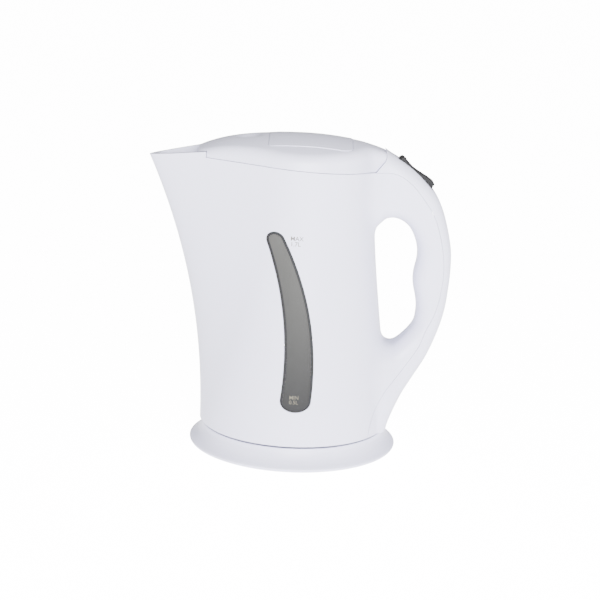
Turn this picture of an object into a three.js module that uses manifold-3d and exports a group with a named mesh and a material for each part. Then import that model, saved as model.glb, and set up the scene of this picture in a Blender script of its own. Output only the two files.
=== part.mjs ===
// An electric kettle: a moulded plastic jug with a prow-shaped spout, a loop handle, a hinged lid
// and a rocker switch, standing on a round power base. Millimetres, +Z up, spout towards -X and
// handle towards +X. The inner group stands on the jug's own axis, and the outer group moves it so
// that the middle of the whole object's footprint is the origin.

import * as THREE from 'three';
import { mergeVertices } from 'three/addons/utils/BufferGeometryUtils.js';
import Module from 'manifold-3d';

const wasm = await Module();
wasm.setup();

// ---------------------------------------------------------------- driving dimensions
const GAP = 0.4;                // between neighbouring pieces
const CLOSE_GAP = 0.3;          // between pieces that seat on each other

// power base
const BASE_INSET = 1.2;         // the jug's wall stands out this much past the base's top
const BASE_FLARE = 9.1;         // from the base's top edge out to its widest
const BASE_HEIGHT = 15.8;       // outer top edge
const BASE_STEP = 0.8;          // plateau above the outer top edge
const BASE_WALL = 2.2;
const BASE_PLATE_THICKNESS = 2.4;
const FOOT_HEIGHT = 1.9;
const FOOT_RADIUS = 6;
const FOOT_SHOW = 1.1;          // how far a rubber foot stands below the base
const CONNECTOR_RADIUS = 12.2;
const CONNECTOR_HEIGHT = 14;    // above the plateau

// jug
const JUG_STAND = 0.9;          // lower edge of the jug's wall above the plateau
const RIM_Z = 205;              // height of the spout's tip
const JUG_FOOT_RADIUS = 66;
const JUG_TOP_RADIUS = 50;
const SPOUT_REACH = 107.2;      // from the jug's axis to the tip
const HANDLE_DEPTH = 56.6;      // from the back of the jug's rim to the back of the handle
const WALL = 3;
const SKIN = 1.4;               // thickness of the handle cover's tail
const SPOUT_SHOULDER = 6.2;     // the spout's rim climbs this much from its tip to the lid
const LID_OVERHANG = 16.4;      // the lid reaches this far over the spout, past the round of the jug
const LID_SEAT_FALL = 6.6;      // the lid's seam falls this much from front to back
const LIP = 6;                  // the lid's front lip reaches this far past the step
const LEDGE = 2.5;              // thickness of the ledge that holds the element plate
const PLATE_MARGIN = 10;        // from the jug's foot in to the element plate's edge
const PLATE_THICKNESS = 0.8;
const SPREADER_THICKNESS = 2.2;
const SEAL_THICKNESS = 1.4;
const CONTROL_ROOF = 1;         // of the thermal control, above its socket

// lid
const LID_HEIGHT = 18.2;        // crown above the spout's tip
const LID_WALL = 2.4;
const LID_DRAFT = 1.6;
const SHOULDER_DROP = 4.5;
const NECK_HALF = 15;           // half-width of the lid's rear end, of the handle's head too
const CROWN_FRONT_FALL = 4.562;  // the crown falls this much to the front, evenly,
const CROWN_NOSE_FALL = 3.784;   // and this much more towards its very end
const CROWN_BACK_FALL = 6.2192;
const CROWN_SIDE_FALL = 10.5;
const HINGE_DEPTH = 5.2;        // hinge axis below the lid's top surface, and its barrel's radius
const HINGE_PIN_RADIUS = 1.5;
const EAR_RADIUS = 3;
const EAR_INNER = 5.6;          // the two ears stand between these distances from the mid-plane
const EAR_OUTER = 9;
const LINER_CLEARANCE = 1.2;

// handle and switch
const HANDLE_HALF_WIDTH = 14;
const HANDLE_WALL = 2.4;
const ROCKER_LENGTH = 30.8;
const ROCKER_WIDTH = 14;
const ROCKER_PIVOT_DEPTH = 3.8;
const ROCKER_PIN_RADIUS = 1.2;
const ROCKER_PIN_SEAT = 2.2;    // the pin reaches this far past each side of the rocker
const ROCKER_END_ROOM = 0.9;    // past each end of the rocker, for its swing

// water windows and spout filter
const WINDOW_FOOT = 4;          // above the ledge's underside
const WINDOW_HEAD = 42.2;       // below the rim
const WINDOW_WIDTH = 20;
const WINDOW_INSET = 1;         // the pane's edge lies this far inside the arcs it is drawn from
const SEAL_WIDTH = 1;
const FILTER_SETBACK = 5.4;     // behind the step in the rim
const FILTER_THICKNESS = 2;

// ---------------------------------------------------------------- working values
const HANDLE_REACH = JUG_TOP_RADIUS + HANDLE_DEPTH;
const BASE_TOP_RADIUS = JUG_FOOT_RADIUS - BASE_INSET;
const BASE_RADIUS = BASE_TOP_RADIUS + BASE_FLARE;
const PLATEAU_Z = BASE_HEIGHT + BASE_STEP;
const JUG_FOOT_Z = PLATEAU_Z + JUG_STAND;
const SOCKET_TOP = PLATEAU_Z + CONNECTOR_HEIGHT + 2 * GAP;
const CONTROL_TOP = SOCKET_TOP + CONTROL_ROOF;
const SPREADER_BOTTOM = CONTROL_TOP + CLOSE_GAP;
const PLATE_BOTTOM = SPREADER_BOTTOM + SPREADER_THICKNESS + CLOSE_GAP;
const PLATE_TOP = PLATE_BOTTOM + PLATE_THICKNESS;
const FLOOR_Z = PLATE_TOP + CLOSE_GAP + SEAL_THICKNESS + CLOSE_GAP;    // underside of the ledge
const PLATE_RADIUS = JUG_FOOT_RADIUS - PLATE_MARGIN;
const WINDOW_BOTTOM_Z = FLOOR_Z + WINDOW_FOOT;
const WINDOW_TOP_Z = RIM_Z - WINDOW_HEAD;
const LID_FRONT_X = -JUG_TOP_RADIUS - LID_OVERHANG;     // where the rim steps down under the lid
const HINGE_X = JUG_TOP_RADIUS;
const FILTER_X = LID_FRONT_X + FILTER_SETBACK;
const JUG_HEIGHT = RIM_Z - JUG_FOOT_Z;
const LID_SEAM_FRONT_Z = RIM_Z + 2.2;
const LID_SEAM_BACK_Z = LID_SEAM_FRONT_Z - LID_SEAT_FALL;
const LID_BACK_X = JUG_TOP_RADIUS;
const FAR = 400;                // longer than the object, for tools that cut right through
const FACETS = 40;              // around the jug, the lid and the base
const LEVELS = 9;               // up the jug's wall

// ---------------------------------------------------------------- solids
function solid(geometry) {
  const bare = geometry.clone();
  bare.deleteAttribute('normal');
  bare.deleteAttribute('uv');
  const merged = mergeVertices(bare, 1e-4);
  const corners = Array.from(merged.index.array);
  const kept = [];
  for (let i = 0; i < corners.length; i += 3) {
    const [a, b, c] = corners.slice(i, i + 3);
    if (a !== b && b !== c && a !== c) kept.push(a, b, c);
  }
  const body = new wasm.Manifold(new wasm.Mesh({
    numProp: 3,
    vertProperties: new Float32Array(merged.attributes.position.array),
    triVerts: new Uint32Array(kept),
  }));
  return body;
}

function geometryOf(body) {
  const mesh = body.getMesh();
  const geometry = new THREE.BufferGeometry();
  geometry.setAttribute('position', new THREE.BufferAttribute(new Float32Array(mesh.vertProperties), 3));
  geometry.setIndex(new THREE.BufferAttribute(new Uint32Array(mesh.triVerts), 1));
  geometry.computeVertexNormals();
  return geometry;
}

// The largest piece of a cut, without the slivers that a cut can leave.
function mainPiece(body) {
  const pieces = body.decompose();
  return pieces.reduce((best, piece) => (piece.volume() > best.volume() ? piece : best));
}

function joinAll(bodies) {
  return bodies.reduce((whole, body) => whole.add(body));
}

// A solid of revolution about Z from [radius, height] points, closed on itself or on the axis.
function turned(points, segments = 32) {
  const profile = points.map(([radius, z]) => new THREE.Vector2(radius, z));
  const onAxis = points[0][0] === 0 && points[points.length - 1][0] === 0;
  if (!onAxis) profile.push(profile[0].clone());
  const geometry = new THREE.LatheGeometry(profile, segments);
  geometry.rotateX(Math.PI / 2);
  return outward(geometry);
}

// Turns a closed geometry's faces outwards if its volume says that they point in.
function outward(geometry) {
  const p = geometry.attributes.position;
  const index = geometry.index;
  const a = new THREE.Vector3();
  const b = new THREE.Vector3();
  const c = new THREE.Vector3();
  let volume = 0;
  for (let i = 0; i < index.count; i += 3) {
    a.fromBufferAttribute(p, index.getX(i));
    b.fromBufferAttribute(p, index.getX(i + 1));
    c.fromBufferAttribute(p, index.getX(i + 2));
    volume += a.dot(b.cross(c));
  }
  if (volume < 0) {
    for (let i = 0; i < index.count; i += 3) {
      const first = index.getX(i);
      index.setX(i, index.getX(i + 2));
      index.setX(i + 2, first);
    }
  }
  return geometry;
}

function disc(radius, bottom, top, segments = 32) {
  return turned([[0, bottom], [radius, bottom], [radius, top], [0, top]], segments);
}

function ring(inner, outer, bottom, top, segments = 32) {
  return turned([[inner, bottom], [outer, bottom], [outer, top], [inner, top]], segments);
}

function box(x0, x1, y0, y1, z0, z1) {
  const geometry = new THREE.BoxGeometry(x1 - x0, y1 - y0, z1 - z0);
  geometry.translate((x0 + x1) / 2, (y0 + y1) / 2, (z0 + z1) / 2);
  return geometry;
}

// A plate whose outline lies in the XZ plane, from y0 to y1.
function sidePlate(points, y0, y1) {
  const shape = new THREE.Shape(points.map(([x, z]) => new THREE.Vector2(x, z)));
  const geometry = new THREE.ExtrudeGeometry(shape, { depth: y1 - y0, bevelEnabled: false });
  geometry.rotateX(Math.PI / 2);
  geometry.translate(0, y1, 0);
  return geometry;
}

// A cylinder along Y or X or Z between two values of that axis.
function rod(axis, radius, from, to, at, segments = 16) {
  const geometry = new THREE.CylinderGeometry(radius, radius, to - from, segments);
  const middle = (from + to) / 2;
  if (axis === 'x') {
    geometry.rotateZ(Math.PI / 2);
    geometry.translate(middle, at[0], at[1]);
  } else if (axis === 'y') {
    geometry.translate(at[0], middle, at[1]);
  } else {
    geometry.rotateX(Math.PI / 2);
    geometry.translate(at[0], at[1], middle);
  }
  return geometry;
}

// A round wire along a smooth line through points.
function wire(points, radius, steps, sides = 8) {
  const line = new THREE.CatmullRomCurve3(points.map((p) => new THREE.Vector3(...p)), false, 'centripetal');
  const section = new THREE.Shape();
  section.absarc(0, 0, radius, 0, 2 * Math.PI);
  return new THREE.ExtrudeGeometry(section, { extrudePath: line, steps, curveSegments: sides / 2 });
}

// ---------------------------------------------------------------- the jug's surface
const lerp = THREE.MathUtils.lerp;

function heightShare(z) {
  return Math.max(0, (z - JUG_FOOT_Z) / JUG_HEIGHT);
}

// Radius of the round part of the body, a soft waist from the foot up to the rim.
function bodyRadius(z) {
  const share = Math.min(1, heightShare(z)) ** 0.85;
  return lerp(JUG_TOP_RADIUS, JUG_FOOT_RADIUS, 0.5 + 0.5 * Math.cos(Math.PI * share));
}

// Distance from the axis to the prow line, which runs out into the spout's tip.
function prowReach(z) {
  const start = JUG_FOOT_RADIUS + 1;
  return start + (SPOUT_REACH - start) * heightShare(z) ** 2.12;
}

// How far the plan is stretched at an angle from the spout: a circle with its two tangents to the
// prow line, whose meeting is rounded.
function prowStretch(angle, z) {
  const softness = Math.max(0.08, 0.32 - 0.24 * heightShare(z));
  const turn = Math.acos(Math.min(1, bodyRadius(z) / prowReach(z))) + softness;
  const away = Math.hypot(angle, softness);
  return away < turn ? 1 / Math.cos(turn - away) : 1;
}

// Bends a turned solid, whose profile is right at the back of the jug, to the jug's plan.
function bentToJug(geometry) {
  const p = geometry.attributes.position;
  for (let i = 0; i < p.count; i += 1) {
    const x = p.getX(i);
    const y = p.getY(i);
    const stretch = prowStretch(Math.abs(Math.atan2(y, -x)), p.getZ(i));
    p.setXY(i, x * stretch, y * stretch);
  }
  return geometry;
}

// Heights that a jug profile is drawn through.
function jugLevels(bottom, top, count) {
  return Array.from({ length: count }, (_, i) => lerp(bottom, top, i / (count - 1)));
}

// The jug's outer form, moved inwards by a distance, as a filled solid.
function jugForm(inset, bottom, top, count = LEVELS) {
  const side = jugLevels(bottom, top, count).map((z) => [bodyRadius(z) - inset, z]);
  return solid(bentToJug(turned([[0, bottom], ...side, [0, top]], FACETS)));
}

// ---------------------------------------------------------------- lid surface
// Top of the lid on its centre line, highest a little ahead of the jug's axis, and falling away
// to the sides.
const CROWN_X = -2;
function crownHeight(x, y) {
  const back = Math.max(0, (x - CROWN_X) / (HINGE_X - CROWN_X));
  const front = Math.max(0, (CROWN_X - x) / (CROWN_X - LID_FRONT_X));
  const side = y / JUG_TOP_RADIUS;
  return RIM_Z + LID_HEIGHT - CROWN_BACK_FALL * back ** 2 - CROWN_SIDE_FALL * side ** 2
    - CROWN_FRONT_FALL * front ** 2 - CROWN_NOSE_FALL * front ** 4;
}

const HINGE_Z = crownHeight(HINGE_X, 0) - HINGE_DEPTH;
const NECK_BACK_X = HINGE_X + HINGE_DEPTH;      // back of the lid's barrel

// Height of the seam between the lid and the jug.
function seamHeight(x) {
  const share = (x - LID_FRONT_X) / (LID_BACK_X - LID_FRONT_X);
  return LID_SEAM_FRONT_Z - LID_SEAT_FALL * (0.75 * share + 0.25 * share * share);
}

// The line of the jug's rim in side view, moved up by a distance; all above it is cut away.
function rimLine(lift) {
  const slope = SPOUT_SHOULDER / (SPOUT_REACH + LID_FRONT_X);
  const shoulder = RIM_Z + SPOUT_SHOULDER + lift;
  return [
    [-SPOUT_REACH - 20, RIM_Z - 20 * slope + lift],
    [LID_FRONT_X + lift, shoulder],
    [LID_FRONT_X + lift, seamHeight(LID_FRONT_X) + lift],
    [lerp(LID_FRONT_X, LID_BACK_X, 0.33), seamHeight(lerp(LID_FRONT_X, LID_BACK_X, 0.33)) + lift],
    [lerp(LID_FRONT_X, LID_BACK_X, 0.66), seamHeight(lerp(LID_FRONT_X, LID_BACK_X, 0.66)) + lift],
    [LID_BACK_X - lift, LID_SEAM_BACK_Z + lift],
  ];
}

// The space above the rim that the lid and the spout's opening take, in side view.
function lidSpace(lift) {
  return [
    ...rimLine(lift),
    [NECK_BACK_X + GAP - lift, HINGE_Z],
    [NECK_BACK_X + GAP - lift, RIM_Z + FAR],
    [-SPOUT_REACH - 20, RIM_Z + FAR],
  ];
}

// ---------------------------------------------------------------- handle
// A place on the handle in side view: shares of the way out from the jug's top radius to the
// handle's back, and of the jug's height.
function handlePoint([out, up]) {
  const x = JUG_TOP_RADIUS + out * HANDLE_DEPTH;
  return new THREE.Vector3(x, 0, JUG_FOOT_Z + up * JUG_HEIGHT);
}

// Outer edge, inner edge and half-width (as a share) of the handle, from the lid to the foot.
const HANDLE_STATIONS = [
  { outer: [-0.1, 1.07], inner: [-0.1, 0.86], wide: 1.12 },
  { outer: [0.106, 1.051], inner: [0.05, 0.805], wide: 1.12 },
  { outer: [0.285, 1.025], inner: [0.19, 0.803], wide: 1.1 },
  { outer: [0.46, 0.99], inner: [0.32, 0.802], wide: 1.06 },
  { outer: [0.62, 0.947], inner: [0.415, 0.792], wide: 1.03 },
  { outer: [0.752, 0.901], inner: [0.5, 0.772], wide: 1 },
  { outer: [0.857, 0.84], inner: [0.56, 0.726], wide: 1 },
  { outer: [0.94, 0.76], inner: [0.58, 0.685], wide: 0.98 },
  { outer: [0.99, 0.687], inner: [0.57, 0.645], wide: 0.97 },
  { outer: [1, 0.62], inner: [0.541, 0.597], wide: 0.97 },
  { outer: [0.99, 0.552], inner: [0.543, 0.552], wide: 0.97 },
  { outer: [0.957, 0.461], inner: [0.587, 0.493], wide: 0.98 },
  { outer: [0.887, 0.379], inner: [0.597, 0.445], wide: 1 },
  { outer: [0.76, 0.283], inner: [0.553, 0.392], wide: 1.1 },
  { outer: [0.6, 0.203], inner: [0.345, 0.322], wide: 1.3 },
  { outer: [0.459, 0.136], inner: [0.12, 0.29], wide: 1.6 },
  { outer: [0.359, 0.072], inner: [-0.02, 0.2], wide: 1.9 },
  { outer: [0.297, 0.019], inner: [-0.08, 0.1], wide: 2.05 },
  { outer: [0.275, -0.03], inner: [-0.08, 0.0], wide: 2.1 },
];

// The seam between the handle cover and the jug moulding in side view, from the lid to the foot.
const COVER_SEAM = [
  [0.24, 0.973], [0.422, 0.943], [0.59, 0.888], [0.758, 0.811], [0.86, 0.71], [0.9, 0.62],
  [0.88, 0.53], [0.82, 0.45], [0.723, 0.387], [0.652, 0.33], [0.549, 0.28], [0.382, 0.212],
  [0.231, 0.153], [0.106, 0.08], [0.057, 0.02], [0.05, -0.04],
];

// The handle as one swept body, its surface moved inwards by a distance.
function handleForm(inset, sides = 16, steps = 26) {
  const outer = new THREE.CatmullRomCurve3(HANDLE_STATIONS.map((s) => handlePoint(s.outer)));
  const inner = new THREE.CatmullRomCurve3(HANDLE_STATIONS.map((s) => handlePoint(s.inner)));
  const wide = new THREE.CatmullRomCurve3(HANDLE_STATIONS.map((s) => new THREE.Vector3(s.wide, 0, 0)));
  const geometry = new THREE.CylinderGeometry(1, 1, 1, sides, steps);
  const p = geometry.attributes.position;
  const roundness = 2.8;
  for (let i = 0; i < p.count; i += 1) {
    const along = Math.min(1, Math.max(0, 0.5 - p.getY(i)));
    const from = inner.getPoint(along);
    const to = outer.getPoint(along);
    const depth = from.distanceTo(to) / 2 - inset;
    const width = HANDLE_HALF_WIDTH * wide.getPoint(along).x - inset;
    const out = to.clone().sub(from).normalize();
    const u = p.getX(i);
    const v = p.getZ(i);
    const square = (Math.abs(u) ** roundness + Math.abs(v) ** roundness) ** (1 / roundness);
    const spread = square > 0 ? Math.hypot(u, v) / square : 0;
    const place = from.add(to).multiplyScalar(0.5).addScaledVector(out, u * spread * depth);
    p.setXYZ(i, place.x, v * spread * width, place.z);
  }
  return solid(outward(geometry));
}

function seamPoints() {
  const start = [LID_BACK_X, LID_SEAM_BACK_Z];
  const line = new THREE.SplineCurve([
    new THREE.Vector2(...start),
    ...COVER_SEAM.map((share) => {
      const point = handlePoint(share);
      return new THREE.Vector2(point.x, point.z);
    }),
  ]);
  return line.getPoints(24).map((point) => [point.x, point.y]);
}

// Everything behind the cover's seam, moved back by a distance.
function behindSeam(shift) {
  const seam = seamPoints();
  const moved = seam.map(([x, z], i) => {
    const [ax, az] = seam[Math.max(0, i - 1)];
    const [bx, bz] = seam[Math.min(seam.length - 1, i + 1)];
    const length = Math.hypot(bx - ax, bz - az);
    return [x - (shift * (bz - az)) / length, z + (shift * (bx - ax)) / length];
  });
  const low = JUG_FOOT_Z - 40;
  const right = HANDLE_REACH + 60;
  const outline = [
    [moved[0][0], RIM_Z + 60],
    ...moved,
    [moved[moved.length - 1][0], low],
    [right, low],
    [right, RIM_Z + 60],
  ];
  return solid(sidePlate(outline.reverse(), -FAR / 2, FAR / 2));
}

// ---------------------------------------------------------------- water windows
// The window's outline in side view: two long arcs that bow towards the handle and round ends.
function windowOutline(grow, points = 6) {
  const height = WINDOW_TOP_Z - WINDOW_BOTTOM_Z;
  const at = (share, side) => [side * WINDOW_WIDTH, WINDOW_BOTTOM_Z + share * height];
  const shape = new THREE.Shape();
  shape.moveTo(...at(0.06, -0.44));
  shape.bezierCurveTo(...at(-0.02, -0.42), ...at(-0.02, 0.53), ...at(0.06, 0.565));
  shape.quadraticCurveTo(...at(0.54, 0.83), ...at(0.965, -0.56));
  shape.bezierCurveTo(...at(0.985, -0.66), ...at(1.03, -1.14), ...at(0.94, -1.1));
  shape.quadraticCurveTo(...at(0.515, -0.09), ...at(0.06, -0.44));
  const line = shape.extractPoints(points).shape;
  if (line[0].distanceTo(line[line.length - 1]) < 1e-6) line.pop();
  return line.map((point, i) => {
    const before = line[(i + line.length - 1) % line.length];
    const after = line[(i + 1) % line.length];
    const along = after.clone().sub(before).normalize();
    return [point.x + along.y * (grow - WINDOW_INSET), point.y - along.x * (grow - WINDOW_INSET)];
  });
}

function windowTool(grow, side) {
  const outline = windowOutline(grow);
  return side < 0
    ? solid(sidePlate(outline, -FAR / 2, 0))
    : solid(sidePlate(outline, 0, FAR / 2));
}

function wallShell(outset, inset) {
  const bottom = WINDOW_BOTTOM_Z - 10;
  const top = WINDOW_TOP_Z + 10;
  return jugForm(outset, bottom, top).subtract(jugForm(inset, bottom - 5, top + 5));
}

function waterWindow(side) {
  return geometryOf(mainPiece(wallShell(0.1, WALL - 0.1).intersect(windowTool(0, side))));
}

function windowSeal(side) {
  const band = windowTool(CLOSE_GAP + SEAL_WIDTH, side).subtract(windowTool(CLOSE_GAP, side));
  return geometryOf(mainPiece(wallShell(0.4, WALL - 0.4).intersect(band)));
}

// ---------------------------------------------------------------- jug
function jugWall() {
  const top = RIM_Z + SPOUT_SHOULDER + 3;
  const levels = jugLevels(JUG_FOOT_Z, top, LEVELS + 3);
  const outside = levels.map((z) => [bodyRadius(z), z]);
  const ledgeRadius = PLATE_RADIUS - 3.5;
  const low = JUG_FOOT_Z + 0.001;
  const inside = jugLevels(FLOOR_Z + LEDGE, top, LEVELS).map((z) => [bodyRadius(z) - WALL, z]).reverse();
  const under = [
    [ledgeRadius, FLOOR_Z + LEDGE],
    [ledgeRadius, FLOOR_Z],
    [bodyRadius(FLOOR_Z) - WALL, FLOOR_Z],
    [bodyRadius(low) - WALL, JUG_FOOT_Z],
  ];
  return solid(bentToJug(turned([...outside, ...inside, ...under], FACETS)));
}

function jugCavity(inset) {
  return jugForm(WALL + inset, FLOOR_Z + LEDGE, RIM_Z + 30, LEVELS + 2);
}

const BOSS_RADIUS = 3.2;
const COVER_SCREW_ANGLES = [60, 180, 300].map(THREE.MathUtils.degToRad);
const COVER_SCREW_RING = PLATE_RADIUS + BOSS_RADIUS + 0.8;
const COVER_THICKNESS = 2;
const COVER_Z = PLATEAU_Z + CLOSE_GAP + 1;      // underside of the jug's bottom cover
const SCREW_SHANK = 1.3;
const SCREW_HEAD = 2.6;
const LEAD_RADIUS = 0.9;
const LEAD_HOLE_Z = JUG_FOOT_Z + 13;
const TAIL_SCREW_Z = JUG_FOOT_Z + 9.5;
const TAIL_SCREW_Y = 12;
const VENT_Z = RIM_Z - 22;

function around(radius, angle) {
  return [radius * Math.cos(angle), radius * Math.sin(angle)];
}

function hingeEars() {
  const post = (side) => {
    const inner = side * EAR_INNER;
    const outer = side * EAR_OUTER;
    const y0 = Math.min(inner, outer);
    const y1 = Math.max(inner, outer);
    const foot = LID_SEAM_BACK_Z - 4;
    const leg = solid(box(HINGE_X - EAR_RADIUS, HINGE_X - 0.5, y0, y1, foot, HINGE_Z));
    return leg.add(solid(rod('y', EAR_RADIUS, y0, y1, [HINGE_X, HINGE_Z], 24)));
  };
  const end = EAR_OUTER + 1;
  const hole = solid(rod('y', HINGE_PIN_RADIUS + CLOSE_GAP, -end, end, [HINGE_X, HINGE_Z]));
  return [post(-1), post(1)].map((ear) => ear.subtract(hole));
}

// Two rails on each side of the spout that the filter slides down between.
function filterRails() {
  const half = FILTER_THICKNESS / 2 + CLOSE_GAP;
  const front = solid(box(FILTER_X - half - 1, FILTER_X - half, -FAR, FAR, RIM_Z - 42, RIM_Z - 2));
  const back = solid(box(FILTER_X + half, FILTER_X + half + 1, -FAR, FAR, RIM_Z - 42, RIM_Z - 2));
  return front.add(back).intersect(jugCavity(-0.5)).subtract(jugCavity(2.4));
}

function jugBody() {
  const hollow = handleForm(HANDLE_WALL).subtract(solid(headBlock()));
  const core = handleForm(0).subtract(hollow).subtract(behindSeam(-GAP / 2));
  const belowFoot = solid(box(-FAR, FAR, -FAR, FAR, -FAR, JUG_FOOT_Z));
  const keepOut = [belowFoot, jugCavity(0), jugForm(WALL, JUG_FOOT_Z - 20, FLOOR_Z, 4)];
  const trimmedCore = keepOut.reduce((body, cutter) => body.subtract(cutter), core);
  const holders = [-1, 1].map((side) => steamSwitchHolder(side)
    .intersect(handleForm(0.5)).subtract(behindSeam(-GAP / 2)));
  const tailTop = handlePoint(COVER_SEAM[10]).z;
  const tailSkin = jugForm(-6, JUG_FOOT_Z - 10, tailTop, 5)
    .subtract(jugForm(SKIN + CLOSE_GAP, JUG_FOOT_Z - 20, tailTop + 1, 5));
  const recess = tailSkin.intersect(behindSeam(-GAP / 2));
  const bosses = COVER_SCREW_ANGLES.map((angle) => {
    const boss = solid(rod('z', BOSS_RADIUS, COVER_Z + COVER_THICKNESS + CLOSE_GAP, FLOOR_Z + 1,
      around(COVER_SCREW_RING, angle)));
    return boss.subtract(solid(rod('z', SCREW_SHANK + CLOSE_GAP, 0, FLOOR_Z - 3,
      around(COVER_SCREW_RING, angle), 12)));
  });
  const leadHole = solid(
    rod('x', LEAD_RADIUS + 3.2, JUG_FOOT_RADIUS - 12, JUG_FOOT_RADIUS + 4, [0, LEAD_HOLE_Z]),
  );
  const vent = solid(rod('x', 3, JUG_TOP_RADIUS - 8, JUG_TOP_RADIUS + 12, [0, VENT_Z]));
  const tailHoles = [-1, 1].map((side) => solid(rod('x', SCREW_SHANK + CLOSE_GAP, JUG_FOOT_RADIUS - 12,
    JUG_FOOT_RADIUS + 6, [side * TAIL_SCREW_Y, TAIL_SCREW_Z], 12)));
  const openings = [-1, 1].map((side) => windowTool(2 * CLOSE_GAP + SEAL_WIDTH, side));
  const topCut = solid(sidePlate(lidSpace(0), -FAR / 2, FAR / 2));
  const body = joinAll([jugWall(), trimmedCore, filterRails(), ...holders, ...bosses]);
  const cut = [recess, leadHole, vent, ...tailHoles, ...openings, topCut]
    .reduce((whole, cutter) => whole.subtract(cutter), body);
  return geometryOf(mainPiece(joinAll([cut, ...hingeEars()])));
}

// ---------------------------------------------------------------- handle cover
// The handle's head stays filled behind the lid, down to just under the seam.
function headBlock() {
  return box(0, NECK_BACK_X + GAP + HANDLE_WALL, -FAR, FAR, LID_SEAM_BACK_Z - 10, RIM_Z + 60);
}

// The rocker's own frame: its middle on the handle's top surface, and the tilt of that surface.
const ROCKER_SHARE = [0.504, 0.975];
const ROCKER_TILT = THREE.MathUtils.degToRad(41);
const ROCKER_PIN_HALF = ROCKER_WIDTH / 2 + ROCKER_PIN_SEAT;

function onSwitch(geometry) {
  const place = handlePoint(ROCKER_SHARE);
  geometry.rotateY(ROCKER_TILT);
  geometry.translate(place.x, 0, place.z);
  return geometry;
}

function handleCover() {
  const hollow = handleForm(HANDLE_WALL).subtract(solid(headBlock()));
  const tailTop = handlePoint(COVER_SEAM[10]).z;
  const outside = handleForm(0).add(jugForm(0, JUG_FOOT_Z - 10, tailTop, 5));
  const jugClear = jugForm(SKIN, JUG_FOOT_Z - 20, tailTop + 1, 5).add(jugForm(-GAP, tailTop, RIM_Z + 60));
  const inside = hollow.add(jugClear);
  const skin = outside.subtract(inside).intersect(behindSeam(GAP / 2));
  const belowFoot = solid(box(-FAR, FAR, -FAR, FAR, -FAR, JUG_FOOT_Z));
  const lidCut = solid(sidePlate(lidSpace(-GAP), -FAR / 2, FAR / 2));
  const slotHalf = ROCKER_LENGTH / 2 + ROCKER_END_ROOM;
  const slotSide = ROCKER_WIDTH / 2 + GAP;
  const slot = solid(onSwitch(box(-slotHalf, slotHalf, -slotSide, slotSide, -9, 9)));
  const pinHole = solid(onSwitch(geometryOf(rockerPinHole(ROCKER_PIN_HALF + CLOSE_GAP))));
  const bosses = [-1, 1].map((side) => {
    const at = [side * TAIL_SCREW_Y, TAIL_SCREW_Z];
    const boss = solid(rod('x', 3, JUG_FOOT_RADIUS - SKIN - 0.2, HANDLE_REACH, at, 16));
    const hole = solid(rod('x', SCREW_SHANK + CLOSE_GAP, JUG_FOOT_RADIUS - 10, JUG_FOOT_RADIUS + 1, at, 12));
    return { boss, hole };
  });
  const within = handleForm(0.5).intersect(behindSeam(GAP / 2)).subtract(jugClear);
  let cover = skin.subtract(belowFoot).subtract(lidCut).subtract(slot).subtract(pinHole);
  for (const { boss, hole } of bosses) {
    cover = cover.add(boss.intersect(within)).subtract(hole);
  }
  return geometryOf(mainPiece(cover));
}

// ---------------------------------------------------------------- switch
function rockerOutline() {
  const half = ROCKER_LENGTH / 2;
  return [
    [-half, -1.6], [-half + 1.4, 1.7], [-half + 3, 2.2], [-half + 5, 1.7], [-7, 1], [-2.3, 0.9],
    [3.7, 1.8], [9, 2.8], [half - 3, 3.2], [half - 1.8, 2.6], [half - 0.2, -1.6],
    [half - 5.4, -3.6], [5, -6.4], [-5, -6.4], [-half + 5.4, -3.6],
  ].reverse();
}

function switchRocker() {
  const body = solid(sidePlate(rockerOutline(), -ROCKER_WIDTH / 2, ROCKER_WIDTH / 2));
  return onSwitch(geometryOf(body.subtract(rockerPinHole(FAR))));
}

function rockerPinHole(half) {
  return solid(rod('y', ROCKER_PIN_RADIUS + CLOSE_GAP, -half, half, [0, -ROCKER_PIVOT_DEPTH]));
}

function switchPivotPin() {
  return onSwitch(rod('y', ROCKER_PIN_RADIUS, -ROCKER_PIN_HALF, ROCKER_PIN_HALF, [0, -ROCKER_PIVOT_DEPTH]));
}

// The snap-action steam switch under the rocker: a block with a plunger that the rocker works.
const STEAM_SWITCH_HALF = 6;
const STEAM_SWITCH_LOW = -20;   // in the rocker's own frame
const STEAM_SWITCH_HIGH = -10.4;
function steamSwitchBody() {
  const block = solid(box(-9, 9, -STEAM_SWITCH_HALF, STEAM_SWITCH_HALF, STEAM_SWITCH_LOW, STEAM_SWITCH_HIGH));
  const plunger = solid(box(-2, 2, -2, 2, -12, -7.4));
  return onSwitch(geometryOf(block.add(plunger)));
}

// A rib from the handle's side wall that holds the steam switch.
function steamSwitchHolder(side) {
  const [near, far] = [side * (STEAM_SWITCH_HALF + CLOSE_GAP), side * NECK_HALF].sort((a, b) => a - b);
  return solid(onSwitch(box(-3, 3, near, far, STEAM_SWITCH_LOW + 1, STEAM_SWITCH_HIGH - 1)));
}

function steamBimetalDisc() {
  return onSwitch(disc(6, STEAM_SWITCH_LOW - 1, STEAM_SWITCH_LOW - GAP, 24));
}

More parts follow.
